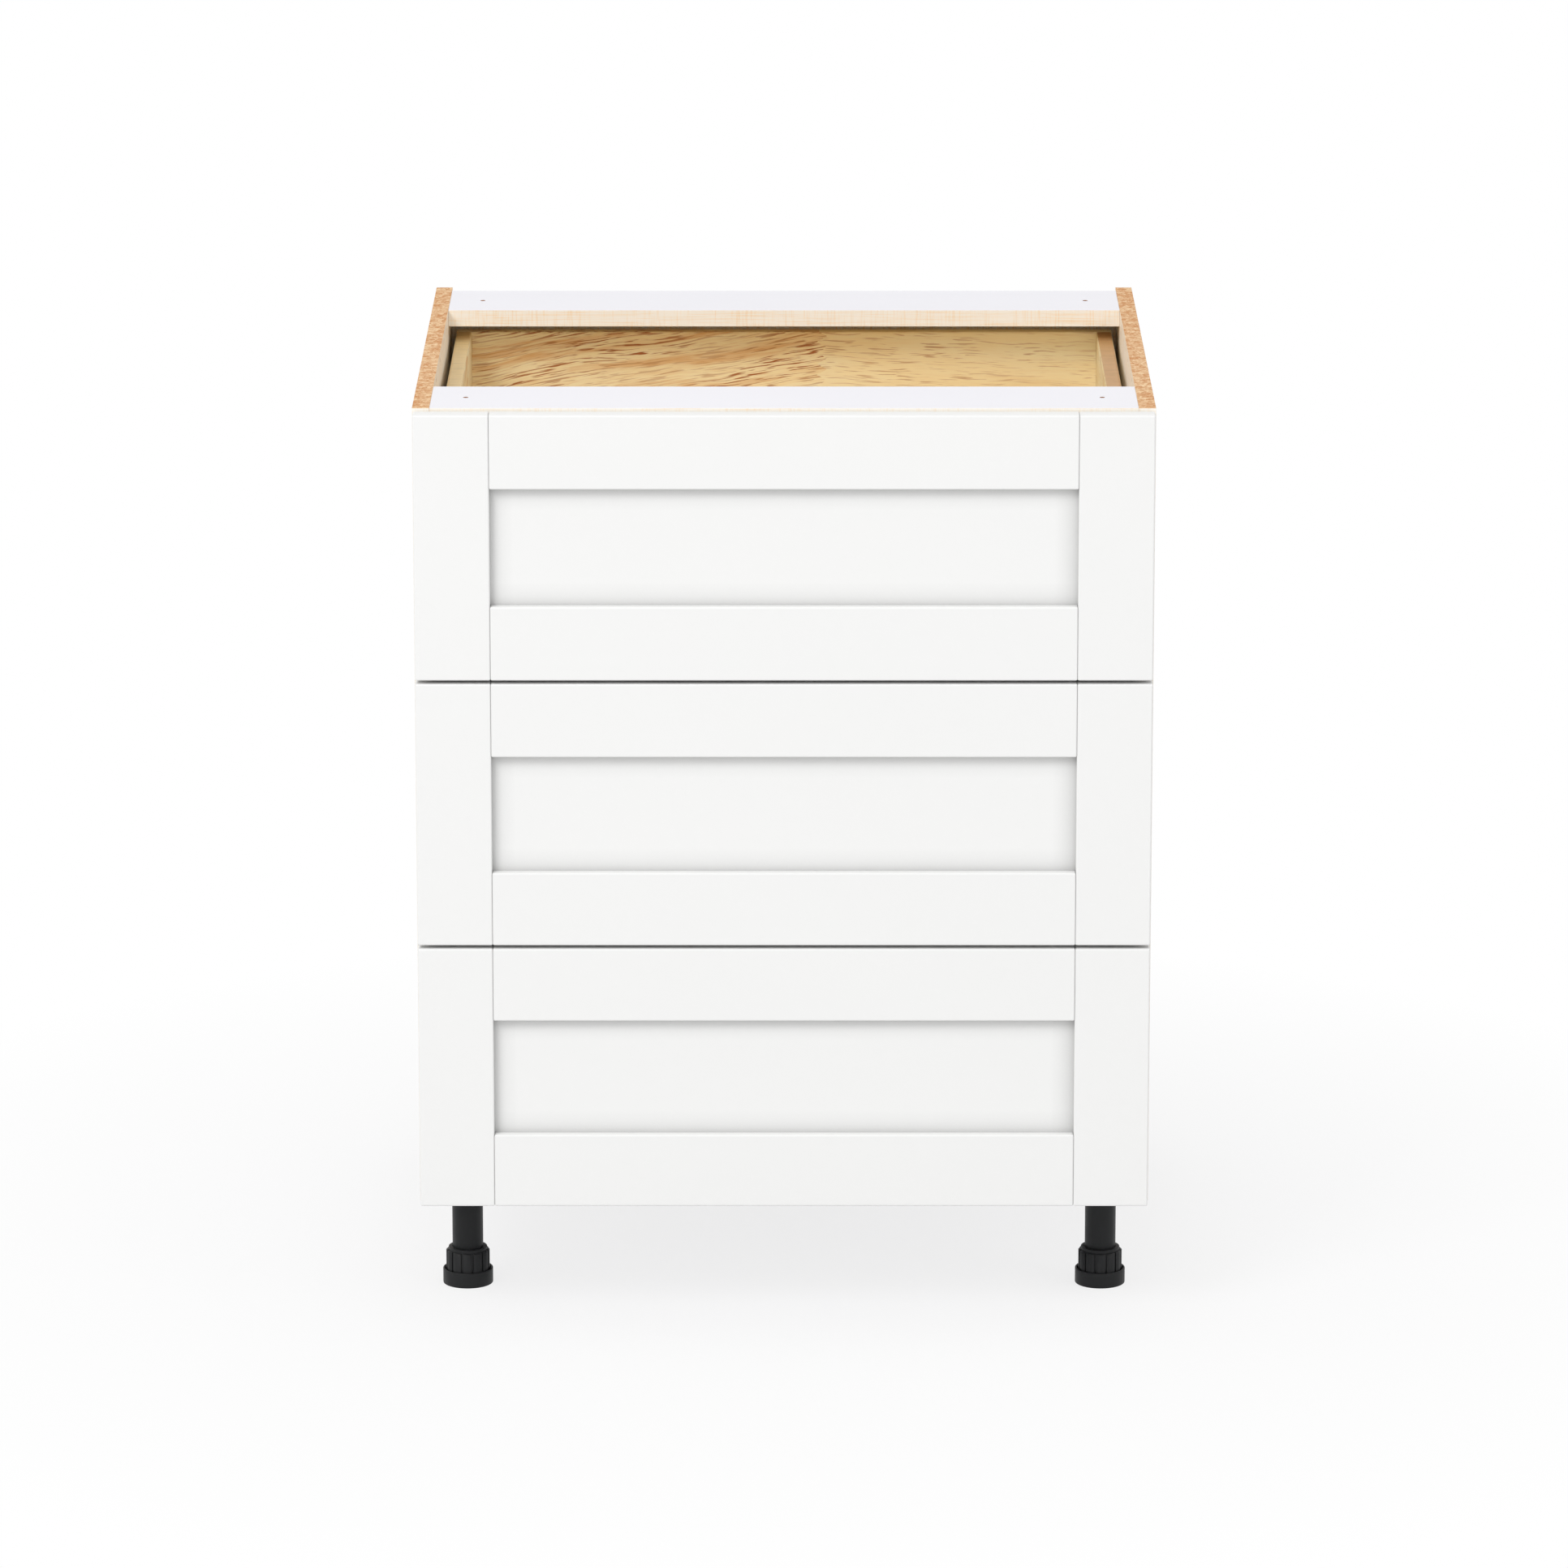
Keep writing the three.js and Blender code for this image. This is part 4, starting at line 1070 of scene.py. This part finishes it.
class CABINET_OT_runner_balls(Operator):
    """Steel balls in the cages of the middle rails"""

    bl_idname = "cabinet.runner_balls"
    bl_label = "Runner balls"

    def execute(self, context):
        sizes = looks().runners
        template = ball()
        for drawer in DRAWERS:
            name, body = f"{drawer}_runner_balls", f"{drawer}_middle_rails"
            places = [spot for label, _ in SIDES for spot in ball_places(f"{drawer}_middle_rail_{label}")]
            radius = sizes.track_radius + sizes.ball_proud
            scatter(name, body, "zinc_steel", template, places, "ball_steel", radius)
        drop(template)
        return {"FINISHED"}


class CABINET_OT_runner_screws(Operator):
    """Screws that hold the runners to the side panels"""

    bl_idname = "cabinet.runner_screws"
    bl_label = "Runner screws"

    def execute(self, context):
        sizes = looks().runners
        places = []
        for drawer in DRAWERS:
            for label, side in SIDES:
                low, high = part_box(f"{drawer}_cabinet_rail_{label}")
                wall = (high.x if side > 0 else low.x) - side * sizes.steel
                for share in (0, 0.5, 1):
                    y = low.y + sizes.screw_margin + share * (high.y - low.y - 2 * sizes.screw_margin)
                    places.append((Vector((wall, y, high.z - sizes.screw_drop)), Vector((-side, 0, 0))))
        scatter_screws("runner_screws", "carcass", places, sizes.screw_radius)
        return {"FINISHED"}


# ---------------------------------------------------------------- legs


def leg_centre(leg):
    """A point on the floor under the leg's middle."""
    low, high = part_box(f"leg_foot_{leg}")
    return Vector(((low.x + high.x) / 2, (low.y + high.y) / 2, 0))


def leg_tube(leg):
    """The tube with its socket, gussets and screw flange."""
    sizes = looks().legs
    centre = leg_centre(leg)
    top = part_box(f"leg_tube_{leg}")[1].z
    flange_low = top - sizes.flange_thickness
    socket_low = flange_low - sizes.socket_height
    bore = sizes.tube_radius - sizes.tube_wall
    inside = [(0, flange_low), (bore, flange_low)]
    outside = [
        (bore, sizes.tube_end),
        (sizes.tube_radius, sizes.tube_end),
        (sizes.tube_radius, socket_low),
        (sizes.socket_radius - sizes.socket_taper, socket_low),
        (sizes.socket_radius, flange_low),
        (sizes.flange_radius, flange_low),
        (sizes.flange_radius, top),
        (0, top),
    ]
    shape = bmesh.new()
    add_turned(shape, inside + rounded(outside, sizes.tube_round), centre, sizes.sides)
    root = sizes.tube_radius - sizes.overlap
    foot = socket_low + sizes.gusset_margin
    tip = sizes.flange_radius - sizes.gusset_margin
    sunk = flange_low + sizes.overlap
    heel = sizes.socket_radius - sizes.overlap
    gusset = [(root, foot), (heel, foot), (tip, flange_low), (tip, sunk), (root, sunk)]
    for i in range(4):
        transform = Matrix.Translation(centre) @ Matrix.Rotation(i * math.pi / 2, 4, "Z")
        add_prism(shape, gusset, sizes.gusset_thickness, transform)
    return mesh_from(f"leg_tube_{leg}_moulding", shape)


def leg_adjuster_core(leg):
    """The adjuster's ring and collar, under the grips."""
    sizes = looks().legs
    low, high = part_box(f"leg_adjuster_{leg}")
    bore = sizes.tube_radius + sizes.clearance
    core = sizes.grip_radius - sizes.grip_depth
    step = sizes.grip_top - sizes.ring_step
    outline = [
        (bore, low.z),
        (core, low.z),
        (core, step),
        (sizes.collar_radius, step),
        (sizes.collar_radius, high.z),
        (bore, high.z),
    ]
    profile = rounded(outline, sizes.ring_round)
    return turned_mesh(f"leg_adjuster_{leg}_ring", profile, leg_centre(leg), sizes.sides, closed=True)


def grip_template():
    """One grip of the adjuster, a curved pad with a bevelled top, and the radius that it stands on."""
    sizes = looks().legs
    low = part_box("leg_adjuster_front_left")[0].z
    half_angle = math.pi / sizes.grips - sizes.grip_gap / 2 / sizes.grip_radius
    base = sizes.grip_radius - sizes.grip_depth - sizes.grip_overlap
    chamfer = sizes.grip_chamfer
    steps = 6
    shape = bmesh.new()
    rows = []
    for z, inset in ((low, 0), (sizes.grip_top - chamfer, 0), (sizes.grip_top, chamfer)):
        spots = []
        for i in range(steps + 1):
            share = 2 * i / steps - 1
            spots.append((half_angle * share, sizes.grip_radius - sizes.grip_swell * abs(share) ** 4 - inset))
        spots += [(half_angle, base), (-half_angle, base)]
        rows.append(
            [
                shape.verts.new((radius * math.cos(angle) - base, radius * math.sin(angle), z))
                for angle, radius in spots
            ]
        )
    for lower, upper in zip(rows, rows[1:]):
        for i in range(len(lower)):
            j = (i + 1) % len(lower)
            shape.faces.new((lower[i], lower[j], upper[j], upper[i]))
    shape.faces.new(rows[0][::-1])
    shape.faces.new(rows[-1])
    return place(mesh_from("grip_template", shape, 50)), base


def leg_foot(leg):
    """The rimmed foot that carries the adjuster."""
    sizes = looks().legs
    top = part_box(f"leg_foot_{leg}")[1].z
    inside = sizes.foot_radius - sizes.foot_wall
    spigot = sizes.tube_radius - sizes.tube_wall - sizes.spigot_gap
    spigot_top = sizes.foot_floor + sizes.spigot_height
    outline = [
        (0, 0),
        (sizes.foot_radius, 0),
        (sizes.foot_radius, top),
        (inside, top),
        (inside, sizes.foot_floor),
        (spigot, sizes.foot_floor),
        (spigot, spigot_top),
        (0, spigot_top),
    ]
    profile = rounded(outline, sizes.foot_round)
    return turned_mesh(f"leg_foot_{leg}_cup", profile, leg_centre(leg), sizes.sides)


class CABINET_OT_legs(Operator):
    """Levelling legs: tube, grooved adjuster and foot"""

    bl_idname = "cabinet.legs"
    bl_label = "Legs"

    def execute(self, context):
        sizes = looks().legs
        template, base = grip_template()
        ring = ring_recipe()
        plastic = finish("leg_plastic")
        for leg in LEGS:
            parts = (
                (leg_tube(leg), f"leg_tube_{leg}", "carcass"),
                (leg_adjuster_core(leg), f"leg_adjuster_{leg}", f"adjuster_{leg}"),
                (leg_foot(leg), f"leg_foot_{leg}", f"foot_{leg}"),
            )
            for mesh, node, body in parts:
                mesh.materials.append(plastic)
                piece = place(mesh)
                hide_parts(node)
                ride(piece, body)
            values = {"Template": template, "Count": sizes.grips, "Radius": base, "Centre": leg_centre(leg)}
            grips = ring.make(f"leg_adjuster_{leg}_grips", Material=plastic, **values)
            ride(place(grips), f"adjuster_{leg}")
        drop(template)
        return {"FINISHED"}


class CABINET_OT_leg_screws(Operator):
    """Screws through the legs' flanges"""

    bl_idname = "cabinet.leg_screws"
    bl_label = "Leg screws"

    def execute(self, context):
        sizes = looks().legs
        places = []
        for leg in LEGS:
            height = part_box(f"leg_tube_{leg}")[1].z - sizes.flange_thickness
            for i in range(4):
                angle = (i + 0.5) * math.pi / 2
                spoke = Vector((math.cos(angle), math.sin(angle), 0)) * sizes.screw_circle
                places.append((leg_centre(leg) + spoke + UP * height, DOWN))
        scatter_screws("leg_screws", "carcass", places, sizes.screw_radius)
        return {"FINISHED"}


# ---------------------------------------------------------------- stage

PLAIN_WHITE = (1, 1, 1)
FLOOR_GREY = (0.8, 0.8, 0.8)
FLOOR_REACH = 30
FADE_START = 0.35
FADE_END = 1.1
FADE_LEAST = 0.78
LAMPS = (
    ("key", (-3.8, -5.5, 6.2), 3.2),
    ("front", (-0.6, -6.5, 2.7), 2.5),
    ("top", (0, -0.6, 4.6), 1.6),
    ("side", (5.6, -3.6, 3.6), 2.5),
)


def seen_share(nodes):
    """1 for what the camera sees, also in gloss or glass, and 0 for light that falls on the object."""
    path = nodes.add("ShaderNodeLightPath").outputs
    share = path["Is Camera Ray"]
    for ray in ("Is Glossy Ray", "Is Transmission Ray"):
        share = nodes.add("ShaderNodeMath", {0: share, 1: path[ray]}, operation="MAXIMUM").outputs[0]
    return share


def end_mix(nodes, output, share, first, second):
    """Ends a shader tree with a mix of two shaders."""
    mix = nodes.add("ShaderNodeMixShader", {0: share, 1: first.outputs[0], 2: second.outputs[0]})
    nodes.add(output, {"Surface": mix.outputs[0]})


def floor_material():
    """White floor that shows a faint shadow near the object and is plain white further off."""
    material = bpy.data.materials.new("studio_floor")
    material.use_nodes = True
    nodes = NodeTree(material.node_tree)
    diffuse = nodes.add("ShaderNodeBsdfDiffuse", {"Color": FLOOR_GREY})
    glow = nodes.add("ShaderNodeEmission", {"Color": PLAIN_WHITE})
    spot = nodes.add("ShaderNodeTexCoord").outputs["Object"]
    distance = nodes.add("ShaderNodeVectorMath", {0: spot}, operation="LENGTH").outputs["Value"]
    fading = {"Value": distance, "From Min": FADE_START, "From Max": FADE_END, "To Min": FADE_LEAST}
    fade = nodes.add("ShaderNodeMapRange", fading).outputs[0]
    share = nodes.add("ShaderNodeMath", {0: fade, 1: seen_share(nodes)}, operation="MULTIPLY")
    end_mix(nodes, "ShaderNodeOutputMaterial", share.outputs[0], diffuse, glow)
    return material


def white_world(strength):
    """An even white light, seen as plain white."""
    world = bpy.data.worlds.new("studio_light")
    world.use_nodes = True
    nodes = NodeTree(world.node_tree)
    light = nodes.add("ShaderNodeBackground", {"Color": PLAIN_WHITE, "Strength": strength})
    seen = nodes.add("ShaderNodeBackground", {"Color": PLAIN_WHITE})
    end_mix(nodes, "ShaderNodeOutputWorld", seen_share(nodes), light, seen)
    return world


def add_lamp(name, spot, size, power):
    """A square soft lamp that faces the middle of the cabinet."""
    lamp = bpy.data.lights.new(name, "AREA")
    lamp.size = size
    lamp.energy = power
    holder = place(lamp)
    holder.location = spot
    target = (CAD_BOX[0] + CAD_BOX[1]) / 2
    holder.rotation_euler = (target - Vector(spot)).to_track_quat("-Z", "Y").to_euler()


class CABINET_OT_stage(Operator):
    """Floor, light and camera"""

    bl_idname = "cabinet.stage"
    bl_label = "Stage"

    def execute(self, context):
        settings = looks().stage
        scene = context.scene
        shape = bmesh.new()
        bmesh.ops.create_grid(shape, x_segments=1, y_segments=1, size=FLOOR_REACH)
        mesh = bpy.data.meshes.new("studio_floor")
        shape.to_mesh(mesh)
        shape.free()
        mesh.materials.append(floor_material())
        place(mesh)

        scene.world = white_world(settings.sky)
        for name, spot, size in LAMPS:
            add_lamp(f"{name}_lamp", spot, size, getattr(settings, name))

        camera = bpy.data.cameras.new("camera")
        camera.lens = settings.lens
        camera.sensor_width = settings.sensor
        holder = place(camera)
        holder.location = (0, CAD_BOX[0].y - settings.camera_distance, settings.camera_height)
        holder.rotation_euler = (math.pi / 2 - settings.camera_pitch, 0, 0)
        scene.camera = holder
        scene.view_settings.view_transform = "Standard"
        return {"FINISHED"}


# ---------------------------------------------------------------- add-on

OPERATORS = (
    CABINET_OT_carcass,
    CABINET_OT_fronts,
    CABINET_OT_bumpers,
    CABINET_OT_boxes,
    CABINET_OT_front_screws,
    CABINET_OT_runners,
    CABINET_OT_runner_balls,
    CABINET_OT_runner_screws,
    CABINET_OT_legs,
    CABINET_OT_leg_screws,
    CABINET_OT_stage,
)


class CABINET_PT_pieces(Panel):
    """The cabinet's pieces and settings"""

    bl_idname = "CABINET_PT_pieces"
    bl_label = "Base cabinet"
    bl_space_type = "VIEW_3D"
    bl_region_type = "UI"
    bl_category = "Cabinet"

    def draw(self, context):
        for operator in OPERATORS:
            self.layout.operator(operator.bl_idname)
        settings = context.scene.cabinet_looks
        for group in ("colours", "fronts", "boards", "legs", "runners", "stage"):
            section = self.layout.box()
            section.label(text=group.capitalize())
            values = getattr(settings, group)
            for key in values.bl_rna.properties.keys():
                if key not in ("rna_type", "name"):
                    section.prop(values, key)


CLASSES = (
    FinishColours,
    FrontSizes,
    BoardSizes,
    LegSizes,
    RunnerSizes,
    StageSettings,
    CabinetLooks,
    *OPERATORS,
    CABINET_PT_pieces,
)


def register():
    """Adds the classes and the scene's settings."""
    for item in CLASSES:
        bpy.utils.register_class(item)
    bpy.types.Scene.cabinet_looks = PointerProperty(type=CabinetLooks)


def unregister():
    """Removes the scene's settings and the classes."""
    del bpy.types.Scene.cabinet_looks
    for item in reversed(CLASSES):
        bpy.utils.unregister_class(item)


def main():
    """Makes every piece and the stage."""
    register()
    for operator in OPERATORS:
        group, action = operator.bl_idname.split(".")
        getattr(getattr(bpy.ops, group), action)()


if __name__ == "__main__":
    main()
